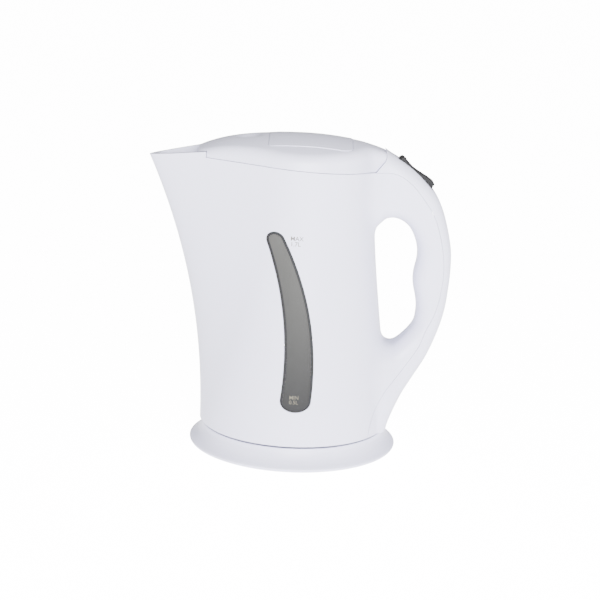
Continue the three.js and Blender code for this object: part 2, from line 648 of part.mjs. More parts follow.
// ---------------------------------------------------------------- leads in the handle
function leadRoute(side) {
  const middle = (out, up, y) => {
    const point = handlePoint([out, up]);
    return [point.x, y * side, point.z];
  };
  return [
    middle(0.47, 0.825, 3), middle(0.66, 0.785, 3), middle(0.76, 0.71, 3), middle(0.78, 0.62, 3),
    middle(0.775, 0.53, 3), middle(0.76, 0.46, 3), middle(0.7, 0.385, 3), middle(0.57, 0.31, 3),
    middle(0.42, 0.225, 2.6), middle(0.335, 0.15, 2.2), [JUG_FOOT_RADIUS + 1.3, side * 1.6, LEAD_HOLE_Z + 4],
    [JUG_FOOT_RADIUS - 3, side * 1.6, LEAD_HOLE_Z - 0.5], [JUG_FOOT_RADIUS - 9, side * 2, LEAD_HOLE_Z - 3.4],
    [JUG_FOOT_RADIUS - 24, side * 3, LEAD_HOLE_Z - 6], [CONTROL_RADIUS + 1, side * 4, LEAD_HOLE_Z - 6],
  ];
}

function switchLead(side) {
  return wire(leadRoute(side), LEAD_RADIUS, 32, 6);
}

// ---------------------------------------------------------------- element and control
const ELEMENT_TUBE = 3;
const ELEMENT_RING = PLATE_RADIUS - 16;
const SOCKET_RADIUS = CONNECTOR_RADIUS + 2 * GAP;
const SOCKET_SKIRT = SOCKET_RADIUS + 3;
const CONTROL_RADIUS = SOCKET_SKIRT + 5;
const CONTROL_SCREW_RING = CONTROL_RADIUS - 2.4;

function elementPlate() {
  return disc(PLATE_RADIUS, PLATE_BOTTOM, PLATE_TOP, 36);
}

function elementSealRing() {
  return ring(PLATE_RADIUS - 3.2, PLATE_RADIUS, PLATE_TOP + CLOSE_GAP, FLOOR_Z - CLOSE_GAP, 36);
}

function heatSpreader() {
  return disc(ELEMENT_RING + 6, SPREADER_BOTTOM, PLATE_BOTTOM - CLOSE_GAP, 36);
}

// A sheathed heating tube bent into an open ring, whose cold ends turn in to the control.
function heatingElement() {
  const z = SPREADER_BOTTOM - CLOSE_GAP - ELEMENT_TUBE;
  const points = [];
  const open = THREE.MathUtils.degToRad(200);
  const bends = 15;
  const end = CONTROL_RADIUS + ELEMENT_TUBE;
  const bend = lerp(end, ELEMENT_RING, 0.4375);
  points.push([...around(end, open - 0.26), z]);
  points.push([...around(bend, open - 0.2), z]);
  for (let i = 0; i <= bends; i += 1) {
    const angle = open - 0.32 - (i / bends) * (2 * Math.PI - 0.64);
    points.push([...around(ELEMENT_RING, angle), z]);
  }
  points.push([...around(bend, open + 0.2), z]);
  points.push([...around(end, open + 0.26), z]);
  return wire(points, ELEMENT_TUBE, 44, 8);
}

// The thermal control, which is also the jug's half of the turning connector.
function thermalControl() {
  const bottom = COVER_Z + 0.2;
  const cup = turned([
    [0, SOCKET_TOP], [SOCKET_RADIUS, SOCKET_TOP], [SOCKET_RADIUS, bottom], [SOCKET_SKIRT, bottom],
    [SOCKET_SKIRT, bottom + 4], [CONTROL_RADIUS, bottom + 4], [CONTROL_RADIUS, CONTROL_TOP], [0, CONTROL_TOP],
  ], 28);
  const screwHoles = [-1, 1].map((side) => solid(rod('z', SCREW_SHANK + CLOSE_GAP, 0, FAR,
    [0, side * CONTROL_SCREW_RING], 12)));
  const slots = [BLADE_LIVE_R, BLADE_NEUTRAL_R].map((radius) => solid(box(radius - 0.4 - CLOSE_GAP,
    radius + 0.4 + CLOSE_GAP, -1.5 - CLOSE_GAP, 1.5 + CLOSE_GAP, SOCKET_TOP - 1, SOCKET_TOP + 1.5)));
  return geometryOf([...screwHoles, ...slots].reduce((body, cutter) => body.subtract(cutter), solid(cup)));
}

const GROOVE_HALF = 1.1;
const BLADE_NEUTRAL_R = CONNECTOR_RADIUS - 3.2;
const BLADE_LIVE_R = BLADE_NEUTRAL_R - 3.8;

// A flat contact blade that drops into one of the connector's ring grooves.
function controlBlade(radius) {
  return box(radius - 0.4, radius + 0.4, -1.5, 1.5, SOCKET_TOP - 7, SOCKET_TOP + 1.2);
}

function controlScrew(side) {
  const at = [0, side * CONTROL_SCREW_RING];
  const head = COVER_Z + COVER_THICKNESS + 0.6;
  const body = solid(rod('z', SCREW_HEAD - 0.3, head, head + 1.3, at)).add(
    solid(rod('z', SCREW_SHANK, head + 1, CONTROL_TOP - 0.3, at, 12)));
  return geometryOf(body);
}

// ---------------------------------------------------------------- jug bottom
function bottomCover() {
  const top = COVER_Z + COVER_THICKNESS;
  const rim = bodyRadius(JUG_FOOT_Z) - WALL - GAP;
  const opening = SOCKET_SKIRT + 0.6;
  const padIn = rim - 9;
  const padOut = rim - 6;
  const plate = turned([
    [opening, COVER_Z], [padIn, COVER_Z], [padIn, COVER_Z - 1], [padOut, COVER_Z - 1], [padOut, COVER_Z],
    [rim, COVER_Z], [rim, top], [opening, top],
  ], FACETS);
  const tools = COVER_SCREW_ANGLES.flatMap((angle) => [
    solid(rod('z', SCREW_SHANK + CLOSE_GAP, 0, FAR, around(COVER_SCREW_RING, angle), 12)),
    solid(rod('z', SCREW_HEAD + CLOSE_GAP, 0, COVER_Z + 0.9, around(COVER_SCREW_RING, angle))),
  ]);
  return geometryOf(tools.reduce((body, cutter) => body.subtract(cutter), solid(plate)));
}

function bottomCoverScrew(angle) {
  const at = around(COVER_SCREW_RING, angle);
  const head = COVER_Z - 0.4;
  const body = solid(rod('z', SCREW_HEAD, head, head + 1, at)).add(
    solid(rod('z', SCREW_SHANK, head + 0.8, FLOOR_Z - 4, at, 12)));
  return geometryOf(body);
}

function handleScrew(side) {
  const at = [side * TAIL_SCREW_Y, TAIL_SCREW_Z];
  const wall = Math.sqrt((bodyRadius(TAIL_SCREW_Z) - WALL) ** 2 - TAIL_SCREW_Y ** 2);
  const head = wall - 0.9 - CLOSE_GAP;
  const body = solid(rod('x', SCREW_HEAD, head - 1, head, at)).add(
    solid(rod('x', SCREW_SHANK, head - 0.5, JUG_FOOT_RADIUS + 0.6, at, 12)));
  return geometryOf(body);
}

// ---------------------------------------------------------------- spout filter
function filterBlank(halfThickness) {
  const slab = solid(
    box(FILTER_X - halfThickness, FILTER_X + halfThickness, -FAR, FAR, RIM_Z - 44, RIM_Z - 4),
  );
  return slab.intersect(jugCavity(0.5));
}

function filterOpening(shrink) {
  const slab = solid(box(FILTER_X - 10, FILTER_X + 10, -FAR, FAR, RIM_Z - 41 + shrink, RIM_Z - 7 - shrink));
  return slab.intersect(jugCavity(3.4 + shrink));
}

function spoutFilterFrame() {
  const bar = solid(box(FILTER_X - 1, FILTER_X - 0.4, -1, 1, RIM_Z - 43, RIM_Z - 5));
  const frame = filterBlank(FILTER_THICKNESS / 2).subtract(filterOpening(0));
  return geometryOf(mainPiece(frame.add(bar)));
}

function spoutFilterMesh() {
  const sheet = solid(box(FILTER_X - 0.05, FILTER_X + 0.45, -FAR, FAR, RIM_Z - 60, RIM_Z));
  return geometryOf(mainPiece(sheet.intersect(filterOpening(CLOSE_GAP))));
}

// ---------------------------------------------------------------- lid
// The lid's outer form, filled, moved inwards by a distance: straight up to the seam, then drawn
// in a little to the shoulder, then the crown.
function lidForm(inset) {
  const radius = JUG_TOP_RADIUS - inset;
  const shares = [0.2, 0.4, 0.6, 0.75, 0.86, 0.91, 0.95, 0.98, 1];
  const [bottom, middle, top] = [RIM_Z - 20, RIM_Z, RIM_Z + LID_HEIGHT];
  const geometry = turned([
    [0, bottom], [radius, bottom], [radius, middle],
    ...shares.map((share) => [share * radius, top]).reverse(), [0, top],
  ], FACETS);
  const p = geometry.attributes.position;
  for (let i = 0; i < p.count; i += 1) {
    const share = Math.hypot(p.getX(i), p.getY(i)) / radius;
    const z = p.getZ(i);
    const onCrown = z > middle + 1;
    const drawnIn = onCrown ? 1 - (LID_DRAFT / radius) * Math.min(1, share) : 1;
    const angle = Math.abs(Math.atan2(p.getY(i), -p.getX(i)));
    const seam = seamHeight(p.getX(i) * prowStretch(angle, RIM_Z));
    const stretch = prowStretch(angle, seam) * drawnIn;
    const x = p.getX(i) * stretch;
    const y = p.getY(i) * stretch;
    const edge = THREE.MathUtils.clamp((share - 0.86) / 0.14, 0, 1);
    const crown = crownHeight(x, y) - SHOULDER_DROP * (1 - Math.sqrt(1 - edge * edge)) - inset;
    const side = z > bottom + 1 ? seam : bottom;
    p.setXYZ(i, x, y, onCrown ? crown : side);
  }
  return solid(outward(geometry));
}

// The lid's rear end in side view: its crown, the barrel about the hinge and the sloping back.
function neckOutline(inset) {
  const crownLine = [20, 14, 8, 4].map((ahead) => {
    const x = HINGE_X - ahead;
    return [x, crownHeight(x, 0) - inset];
  });
  const radius = HINGE_DEPTH - inset;
  const barrel = [];
  const facets = 8;
  for (let i = 0; i <= facets; i += 1) {
    const angle = (i / facets) * (Math.PI / 2) * 1.02;
    barrel.push([HINGE_X + radius * Math.sin(angle), HINGE_Z + radius * Math.cos(angle)]);
  }
  return [...crownLine, ...barrel];
}

function neckForm(inset, half) {
  const outline = [
    [HINGE_X - 20, LID_SEAM_BACK_Z - 20], ...neckOutline(inset),
    [LID_BACK_X - GAP - inset, LID_SEAM_BACK_Z],
    [LID_BACK_X - GAP - inset, LID_SEAM_BACK_Z - 20],
  ];
  return solid(sidePlate(outline.reverse(), -half, half));
}

// Space inside the lid's rear end, open downwards and to the back below the barrel.
function neckHollow() {
  const inset = 1.6;
  const start = HINGE_X - 24;
  const outline = [
    [start, LID_SEAM_BACK_Z - 20], [start, crownHeight(start, 0) - LID_WALL - 1], ...neckOutline(inset),
    [HINGE_X + 12, HINGE_Z - 1], [HINGE_X + 12, LID_SEAM_BACK_Z - 20],
  ];
  return solid(sidePlate(outline.reverse(), -NECK_HALF + 2, NECK_HALF - 2));
}

// The finger scoop ahead of the grip: a shallow trough across the lid's top.
const SCOOP_X = LID_FRONT_X + 26.4;
const SCOOP_RADIUS = 22;
const SCOOP_DEPTH = 3.2;
const SCOOP_HALF = 25;
function scoopTool(grow) {
  const radius = SCOOP_RADIUS + grow;
  const geometry = new THREE.SphereGeometry(1, 18, 12);
  geometry.scale(radius * 0.82, SCOOP_HALF + grow, radius);
  geometry.translate(SCOOP_X, 0, crownHeight(SCOOP_X, 0) - SCOOP_DEPTH + SCOOP_RADIUS);
  return solid(outward(geometry));
}

// The raised grip panel let into the lid's top.
const GRIP_FRONT_X = SCOOP_X + 16;
const GRIP_BACK_X = HINGE_X - 17;
const GRIP_HALF = JUG_TOP_RADIUS - 17;
const GRIP_THICKNESS = 1.5;
const GRIP_RAISE = 0.5;
function gripOutline(grow) {
  const corner = 8;
  const x0 = GRIP_FRONT_X - grow;
  const x1 = GRIP_BACK_X + grow;
  const half = GRIP_HALF + grow;
  const shape = new THREE.Shape();
  shape.moveTo(x0, -half);
  shape.lineTo(x1 - corner, -half);
  shape.absarc(x1 - corner, -half + corner, corner, -Math.PI / 2, 0);
  shape.lineTo(x1, half - corner);
  shape.absarc(x1 - corner, half - corner, corner, 0, Math.PI / 2);
  shape.lineTo(x0, half);
  return shape;
}

function gripPrism(grow) {
  const geometry = new THREE.ExtrudeGeometry(gripOutline(grow), {
    depth: 60,
    bevelEnabled: false,
    curveSegments: 5,
  });
  geometry.translate(0, 0, RIM_Z - 10);
  return solid(geometry);
}

// A slab that follows the lid's crown, between two heights above it.
function crownSlab(low, high) {
  const geometry = box(GRIP_FRONT_X - 6, GRIP_BACK_X + 6, -GRIP_HALF - 5, GRIP_HALF + 5, 0, 1);
  const fine = new THREE.BoxGeometry(1, 1, 1, 10, 8, 1);
  geometry.computeBoundingBox();
  const { min, max } = geometry.boundingBox;
  const p = fine.attributes.position;
  for (let i = 0; i < p.count; i += 1) {
    const x = lerp(min.x, max.x, p.getX(i) + 0.5);
    const y = lerp(min.y, max.y, p.getY(i) + 0.5);
    p.setXYZ(i, x, y, crownHeight(x, y) + (p.getZ(i) > 0 ? high : low));
  }
  return solid(fine);
}

function lidGrip() {
  return geometryOf(mainPiece(crownSlab(GRIP_RAISE - GRIP_THICKNESS, GRIP_RAISE).intersect(gripPrism(0))));
}

function lidKnuckle() {
  const half = EAR_INNER - GAP;
  const barrel = solid(rod('y', EAR_RADIUS, -half, half, [HINGE_X, HINGE_Z], 24));
  const web = solid(
    box(HINGE_X - EAR_RADIUS, HINGE_X + 1.5, -half, half, HINGE_Z, HINGE_Z + HINGE_DEPTH - 1),
  );
  return barrel.add(web);
}

function lidShell() {
  const hollow = lidForm(LID_WALL).subtract(scoopTool(LID_WALL)).add(neckHollow());
  const aboveSeam = solid(sidePlate(lidSpace(GAP), -FAR / 2, FAR / 2));
  const lipFront = solid(box(LID_FRONT_X - LIP, FAR, -FAR, FAR, 0, FAR));
  const recess = gripPrism(CLOSE_GAP).intersect(crownSlab(GRIP_RAISE - GRIP_THICKNESS - CLOSE_GAP, 8));
  const outer = lidForm(0).add(neckForm(0, NECK_HALF)).intersect(aboveSeam).intersect(lipFront);
  const frontWall = solid(box(LID_FRONT_X, LID_FRONT_X + 2, -FAR, FAR, 0, FAR));
  const end = EAR_OUTER + 1;
  const hole = solid(rod('y', HINGE_PIN_RADIUS + CLOSE_GAP, -end, end, [HINGE_X, HINGE_Z]));
  const pinRoom = solid(box(HINGE_X - 4, HINGE_X + 4, -NECK_HALF + 2, NECK_HALF - 2, HINGE_Z - 8, HINGE_Z));
  const shell = outer.subtract(hollow.subtract(frontWall).subtract(solid(lipBlock())));
  const cut = [scoopTool(0), recess, pinRoom].reduce((body, cutter) => body.subtract(cutter), shell);
  return geometryOf(mainPiece(cut.add(lidKnuckle()).subtract(hole)));
}

// The lip ahead of the step stays filled.
function lipBlock() {
  return box(-FAR, LID_FRONT_X + 0.5, -FAR, FAR, 0, FAR);
}

// The liner closes the lid's underside and hangs a little way into the jug's mouth.
const LINER_FLOOR_Z = RIM_Z - 9;
function lidLiner() {
  const wall = 1.6;
  const top = LINER_FLOOR_Z + 15;
  const outer = jugForm(WALL + LINER_CLEARANCE, LINER_FLOOR_Z, top, 4);
  const inner = jugForm(WALL + LINER_CLEARANCE + wall, LINER_FLOOR_Z + wall, top + 10, 4);
  const front = FILTER_X + FILTER_THICKNESS + 4;
  const back = HINGE_X - EAR_RADIUS - 2.4;
  const reach = solid(box(front, back, -FAR, FAR, 0, FAR));
  const within = solid(box(front + wall, back - wall, -FAR, FAR, 0, FAR));
  const headroom = lidForm(LID_WALL + CLOSE_GAP).subtract(scoopTool(LID_WALL + CLOSE_GAP));
  const cup = outer.intersect(reach).subtract(inner.intersect(within)).intersect(headroom);
  return geometryOf(mainPiece(cup));
}

function lidHingePin() {
  return rod('y', HINGE_PIN_RADIUS, -EAR_OUTER - 0.6, EAR_OUTER + 0.6, [HINGE_X, HINGE_Z]);
}

// ---------------------------------------------------------------- power base
function baseSide(inset) {
  const drop = BASE_HEIGHT - FOOT_SHOW;
  const flare = BASE_RADIUS - BASE_TOP_RADIUS;
  const at = (out, down) => [BASE_TOP_RADIUS + out * flare - inset, BASE_HEIGHT - down * drop];
  return [
    at(0, 0), at(0.1, 0.22), at(0.34, 0.47), at(0.64, 0.65),
    at(0.9, 0.76), at(1, 0.83), at(0.93, 0.93), at(0.72, 1),
  ];
}

const HUB_HOLE = CONNECTOR_RADIUS + 1;
const BASE_SCREW_ANGLES = [0, 120, 240].map(THREE.MathUtils.degToRad);
const BASE_SCREW_RING = BASE_TOP_RADIUS - 20.8;
const FOOT_ANGLES = [60, 180, 300].map(THREE.MathUtils.degToRad);
const FOOT_RING = BASE_TOP_RADIUS - FOOT_RADIUS - 0.8;
const INLET_Z = FOOT_SHOW + BASE_PLATE_THICKNESS + 0.6 + 3.2;
const INLET_HALF = 5;

function baseUpperShell() {
  const outside = baseSide(0);
  const lip = outside[outside.length - 1];
  const inside = baseSide(BASE_WALL).slice(1, 6).reverse();
  const roof = PLATEAU_Z - BASE_WALL;
  const profile = [
    [HUB_HOLE, roof], [HUB_HOLE, PLATEAU_Z], [BASE_TOP_RADIUS - 3, PLATEAU_Z], ...outside,
    [lip[0] - 1.2, lip[1]], ...inside, [BASE_TOP_RADIUS - BASE_WALL - 0.5, roof],
  ];
  const bosses = BASE_SCREW_ANGLES.map((angle) => {
    const at = around(BASE_SCREW_RING, angle);
    const boss = solid(rod('z', BOSS_RADIUS, FOOT_SHOW + BASE_PLATE_THICKNESS + CLOSE_GAP, roof + 1, at));
    return boss.subtract(solid(rod('z', SCREW_SHANK + CLOSE_GAP, 0, roof - 1, at, 12)));
  });
  const inlet = solid(box(-INLET_HALF, INLET_HALF, BASE_TOP_RADIUS - 10, BASE_RADIUS + 10,
    -10, INLET_Z + 3.6));
  return geometryOf(joinAll([solid(turned(profile, FACETS)), ...bosses]).subtract(inlet));
}

function baseLowerPlate() {
  const edge = baseSide(BASE_WALL)[5][0] - 1.6;
  const bottom = FOOT_SHOW;
  const plate = solid(disc(edge, bottom, bottom + BASE_PLATE_THICKNESS, FACETS));
  const recesses = FOOT_ANGLES.map((angle) => solid(rod('z', FOOT_RADIUS + CLOSE_GAP, 0,
    FOOT_HEIGHT + CLOSE_GAP, around(FOOT_RING, angle), 20)));
  const screwHoles = BASE_SCREW_ANGLES.flatMap((angle) => [
    solid(rod('z', SCREW_SHANK + CLOSE_GAP, 0, FAR, around(BASE_SCREW_RING, angle), 12)),
    solid(rod('z', SCREW_HEAD + CLOSE_GAP, 0, bottom + 1.2, around(BASE_SCREW_RING, angle))),
  ]);
  return geometryOf([...recesses, ...screwHoles].reduce((body, cutter) => body.subtract(cutter), plate));
}

function baseFoot(angle) {
  return rod('z', FOOT_RADIUS, 0, FOOT_HEIGHT, around(FOOT_RING, angle), 20);
}

function baseScrew(angle) {
  const at = around(BASE_SCREW_RING, angle);
  const head = FOOT_SHOW + 0.2;
  return geometryOf(solid(rod('z', SCREW_HEAD, head, head + 0.8, at)).add(
    solid(rod('z', SCREW_SHANK, head + 0.6, PLATEAU_Z - BASE_WALL - 1.6, at, 12))));
}

// The central tower of the turning connector, with two ring grooves and a bore for the earth pin.
function baseConnectorHub() {
  const bottom = FOOT_SHOW + BASE_PLATE_THICKNESS + CLOSE_GAP;
  const top = PLATEAU_Z + CONNECTOR_HEIGHT;
  const flange = PLATEAU_Z - BASE_WALL - CLOSE_GAP;
  const tower = solid(turned([
    [0, bottom], [HUB_HOLE + 5, bottom], [HUB_HOLE + 5, flange], [CONNECTOR_RADIUS, flange],
    [CONNECTOR_RADIUS, top - 1], [CONNECTOR_RADIUS - 1, top], [0, top],
  ], 28));
  const grooves = [BLADE_LIVE_R, BLADE_NEUTRAL_R].map((radius) => solid(ring(radius - GROOVE_HALF,
    radius + GROOVE_HALF, PLATEAU_Z - 1, top + 1, 24)));
  const bore = solid(rod('z', 1.8 + CLOSE_GAP, bottom + 2, top + 1, [0, 0]));
  return geometryOf([...grooves, bore].reduce((body, cutter) => body.subtract(cutter), tower));
}

// A brass ring at the foot of a groove, with a gap to its walls.
function contactRing(radius) {
  return ring(radius - GROOVE_HALF + CLOSE_GAP, radius + GROOVE_HALF - CLOSE_GAP,
    PLATEAU_Z - 1 + CLOSE_GAP, PLATEAU_Z + 4, 24);
}

function baseEarthPin() {
  return rod('z', 1.8, FOOT_SHOW + BASE_PLATE_THICKNESS + CLOSE_GAP + 2 + CLOSE_GAP,
    PLATEAU_Z + CONNECTOR_HEIGHT, [0, 0], 16);
}

// The rubber bush in the base's skirt where the supply cord comes in.
function cordInletBush() {
  const skirt = baseSide(0)[3][0];
  const half = INLET_HALF - CLOSE_GAP;
  const low = FOOT_SHOW + 0.6;
  const high = INLET_Z + 3.6 - CLOSE_GAP;
  const block = solid(box(-half, half, skirt - 5, BASE_RADIUS, low, high));
  const plateTop = FOOT_SHOW + BASE_PLATE_THICKNESS;
  const cutPlate = solid(
    disc(baseSide(BASE_WALL)[5][0] - 1.6 + CLOSE_GAP, -1, plateTop + CLOSE_GAP, FACETS),
  );
  const bore = solid(rod('y', 2.6, 0, FAR, [0, (low + high) / 2 + 0.8], 16));
  return geometryOf(mainPiece(block.subtract(cutPlate).subtract(bore)));
}

// ---------------------------------------------------------------- materials
function finish(color, roughness, metalness = 0) {
  return { color, roughness, metalness };
}

const WHITE = finish(0xe9e9ee, 0.32);
const INNER_WHITE = finish(0xdedee2, 0.5);
const WINDOW_GREY = finish(0x7c7c7a, 0.2);
const DARK_RUBBER = finish(0x4c4c4e, 0.8);
const SWITCH_GREY = finish(0x565658, 0.45);
const BLACK_PLASTIC = finish(0x26262a, 0.5);
const STEEL = finish(0xc3c5c8, 0.28, 1);
const ALUMINIUM = finish(0xb4b7ba, 0.45, 1);
const BRASS = finish(0xc2a25a, 0.35, 1);
const SILICONE = finish(0xb8b9bb, 0.75);
const LEAD_SLEEVE = finish(0xb9b2a4, 0.7);

// ---------------------------------------------------------------- assembly
const kettle = new THREE.Group();
const pieces = new THREE.Group();
pieces.position.x = (SPOUT_REACH - HANDLE_REACH) / 2;
kettle.add(pieces);

function add(name, geometry, look) {
  const mesh = new THREE.Mesh(geometry, new THREE.MeshStandardMaterial(look));
  mesh.name = name;
  pieces.add(mesh);
}

add('base_upper_shell', baseUpperShell(), WHITE);
add('base_lower_plate', baseLowerPlate(), WHITE);
add('base_connector_hub', baseConnectorHub(), BLACK_PLASTIC);
add('base_earth_pin', baseEarthPin(), BRASS);
add('base_live_ring', contactRing(BLADE_LIVE_R), BRASS);
add('base_neutral_ring', contactRing(BLADE_NEUTRAL_R), BRASS);
FOOT_ANGLES.forEach((angle, i) => add(`base_foot_${i + 1}`, baseFoot(angle), DARK_RUBBER));
BASE_SCREW_ANGLES.forEach((angle, i) => add(`base_screw_${i + 1}`, baseScrew(angle), STEEL));
add('cord_inlet_bush', cordInletBush(), DARK_RUBBER);

add('jug_body', jugBody(), WHITE);
add('handle_cover', handleCover(), WHITE);
add('water_window_left', waterWindow(-1), WINDOW_GREY);
add('water_window_right', waterWindow(1), WINDOW_GREY);
add('window_seal_left', windowSeal(-1), DARK_RUBBER);
add('window_seal_right', windowSeal(1), DARK_RUBBER);
add('element_plate', elementPlate(), STEEL);
add('element_seal_ring', elementSealRing(), SILICONE);
add('heat_spreader', heatSpreader(), ALUMINIUM);
add('heating_element', heatingElement(), ALUMINIUM);
add('thermal_control', thermalControl(), BLACK_PLASTIC);
add('control_blade_live', controlBlade(BLADE_LIVE_R), BRASS);
add('control_blade_neutral', controlBlade(BLADE_NEUTRAL_R), BRASS);
[-1, 1].forEach((side, i) => add(`control_screw_${i + 1}`, controlScrew(side), STEEL));
add('bottom_cover', bottomCover(), INNER_WHITE);
COVER_SCREW_ANGLES.forEach((angle, i) => add(`bottom_cover_screw_${i + 1}`, bottomCoverScrew(angle), STEEL));
[-1, 1].forEach((side, i) => add(`handle_screw_${i + 1}`, handleScrew(side), STEEL));
add('spout_filter_frame', spoutFilterFrame(), INNER_WHITE);
add('spout_filter_mesh', spoutFilterMesh(), STEEL);
add('steam_switch_body', steamSwitchBody(), BLACK_PLASTIC);
add('steam_bimetal_disc', steamBimetalDisc(), BRASS);
add('switch_pivot_pin', switchPivotPin(), STEEL);
add('switch_lead_live', switchLead(-1), LEAD_SLEEVE);
add('switch_lead_neutral', switchLead(1), LEAD_SLEEVE);
add('switch_rocker', switchRocker(), SWITCH_GREY);

add('lid_shell', lidShell(), WHITE);
add('lid_liner', lidLiner(), INNER_WHITE);
add('lid_grip', lidGrip(), WHITE);
add('lid_hinge_pin', lidHingePin(), STEEL);

export default kettle;
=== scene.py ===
import math

import bmesh
import bpy
import numpy as np
from mathutils import Matrix, Vector


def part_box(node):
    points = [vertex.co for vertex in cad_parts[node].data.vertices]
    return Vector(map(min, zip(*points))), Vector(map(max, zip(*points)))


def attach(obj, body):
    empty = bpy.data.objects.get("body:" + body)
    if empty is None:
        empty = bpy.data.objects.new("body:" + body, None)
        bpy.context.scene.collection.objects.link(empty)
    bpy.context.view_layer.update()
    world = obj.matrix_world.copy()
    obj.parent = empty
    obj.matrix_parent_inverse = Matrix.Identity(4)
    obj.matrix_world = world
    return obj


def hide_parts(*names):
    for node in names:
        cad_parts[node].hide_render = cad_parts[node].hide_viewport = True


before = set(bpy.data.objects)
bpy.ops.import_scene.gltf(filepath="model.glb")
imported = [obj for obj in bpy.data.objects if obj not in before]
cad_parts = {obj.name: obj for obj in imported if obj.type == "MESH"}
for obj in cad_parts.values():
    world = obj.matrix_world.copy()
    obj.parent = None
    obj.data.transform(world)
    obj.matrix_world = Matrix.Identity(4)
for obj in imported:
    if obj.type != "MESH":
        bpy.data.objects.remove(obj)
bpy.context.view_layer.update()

bl_info = {
    "name": "Electric kettle",
    "version": (1, 0, 0),
    "blender": (4, 5, 0),
    "location": "View3D > Sidebar > Kettle",
    "description": "Builds the surface of a jug kettle on its power base around its packed frame",
    "category": "Add Mesh",
}

MM = 0.001

# ------------------------------------------------------------------ sizes, millimetres
# The frame's own box gives the reach of the spout and of the handle about the jug's axis.
JUG_FOOT_Z = 17.5
RIM_Z = 205.0
JUG_HEIGHT = RIM_Z - JUG_FOOT_Z
JUG_FOOT_RADIUS = 66.0
JUG_TOP_RADIUS = 50.0
SPOUT_REACH = 107.2
HANDLE_REACH = 106.6
AXIS_X = (SPOUT_REACH - HANDLE_REACH) / 2
WALL = 3.0
SKIN = 1.4
GAP = 0.4
CLOSE_GAP = 0.3
SPOUT_SHOULDER = 6.2
LID_FRONT_X = -66.4
LID_BACK_X = JUG_TOP_RADIUS
LID_SEAT_FALL = 6.6
LID_SEAM_FRONT_Z = RIM_Z + 2.2
LID_SEAM_BACK_Z = LID_SEAM_FRONT_Z - LID_SEAT_FALL
LID_HEIGHT = 18.2
LID_WALL = 2.4
LID_DRAFT = 1.6
LIP = 6.0
NECK_HALF = 15.0
HINGE_X = 50.0
HINGE_Z = RIM_Z + 6.7808
REAR_FALL = 1.0                 # the crown falls this much more at its very back
REAR_FALL_X = 36.0
HANDLE_HALF_WIDTH = 14.0
HANDLE_WALL = 2.4
FLOOR_Z = 38.0
WINDOW_BOTTOM_Z = 42.0
WINDOW_TOP_Z = 162.8
WINDOW_WIDTH = 20.0
WINDOW_INSET = 1.0
SEAL_WIDTH = 1.0
SEAL_LAP = 0.3                  # the seal closes over this much of the pane's edge
FILTER_X = -61.0
THROAT_RADIUS = 52.5            # the hole in the jug's floor over the element plate
VENT_RADIUS = 3.0               # the steam's way from the jug to the switch
VENT_FALL = 22.0
EAR_INNER = 5.6                 # the hinge's ears, across, with the lid's knuckle between them
EAR_OUTER = 9.0
EAR_RADIUS = 3.0
KNUCKLE_HALF = 5.2
PIN_HOLE_RADIUS = 1.8
PIVOT_HOLE_RADIUS = 1.5
ROCKER_LENGTH = 30.8
ROCKER_WIDTH = 14.0
ROCKER_PIVOT_DEPTH = 3.8
ROCKER_SHARE = (0.504, 0.975)
ROCKER_TILT = math.radians(41)
BASE_RADIUS = 73.9
BASE_TOP_RADIUS = 64.8
BASE_HEIGHT = 15.8
PLATEAU_Z = 16.6
FOOT_SHOW = 1.1
FAR = 300.0

HANDLE_STATIONS = (
    ((-0.1, 1.07), (-0.1, 0.86), 1.12),
    ((0.106, 1.051), (0.05, 0.794), 1.12),
    ((0.285, 1.025), (0.17, 0.8), 1.1),
    ((0.46, 0.99), (0.28, 0.801), 1.06),
    ((0.62, 0.947), (0.385, 0.788), 1.03),
    ((0.752, 0.901), (0.47, 0.764), 1.0),
    ((0.857, 0.84), (0.54, 0.722), 1.0),
    ((0.94, 0.76), (0.572, 0.682), 0.98),
    ((0.99, 0.687), (0.57, 0.645), 0.97),
    ((1.0, 0.62), (0.541, 0.597), 0.97),
    ((0.99, 0.552), (0.543, 0.552), 0.97),
    ((0.957, 0.461), (0.587, 0.493), 0.98),
    ((0.887, 0.379), (0.597, 0.445), 1.0),
    ((0.76, 0.283), (0.553, 0.392), 1.1),
    ((0.6, 0.203), (0.345, 0.322), 1.3),
    ((0.459, 0.136), (0.12, 0.29), 1.6),
    ((0.359, 0.072), (-0.02, 0.2), 1.9),
    ((0.297, 0.019), (-0.08, 0.1), 2.05),
    ((0.275, -0.03), (-0.08, 0.0), 2.1),
)
COVER_SEAM = (
    (0.24, 0.973), (0.422, 0.943), (0.59, 0.888), (0.758, 0.811), (0.86, 0.71), (0.9, 0.62),
    (0.88, 0.53), (0.82, 0.45), (0.723, 0.387), (0.652, 0.33), (0.549, 0.28), (0.382, 0.212),
    (0.231, 0.153), (0.106, 0.08), (0.057, 0.02), (0.05, -0.04),
)


# ------------------------------------------------------------------ the jug's surface
def lerp(a, b, share):
    return a + (b - a) * share


def height_share(z):
    return np.maximum(0.0, (np.asarray(z, float) - JUG_FOOT_Z) / JUG_HEIGHT)


def body_radius(z):
    share = np.minimum(1.0, height_share(z)) ** 0.85
    return lerp(JUG_TOP_RADIUS, JUG_FOOT_RADIUS, 0.5 + 0.5 * np.cos(np.pi * share))


def prow_reach(z):
    start = JUG_FOOT_RADIUS + 1
    return start + (SPOUT_REACH - start) * height_share(z) ** 2.12


def prow_stretch(angle, z):
    """How far the round plan is drawn out at an angle from the spout."""
    softness = np.maximum(0.08, 0.32 - 0.24 * height_share(z))
    turn = np.arccos(np.minimum(1.0, body_radius(z) / prow_reach(z))) + softness
    away = np.hypot(angle, softness)
    return 1.0 / np.cos(np.maximum(0.0, turn - away))


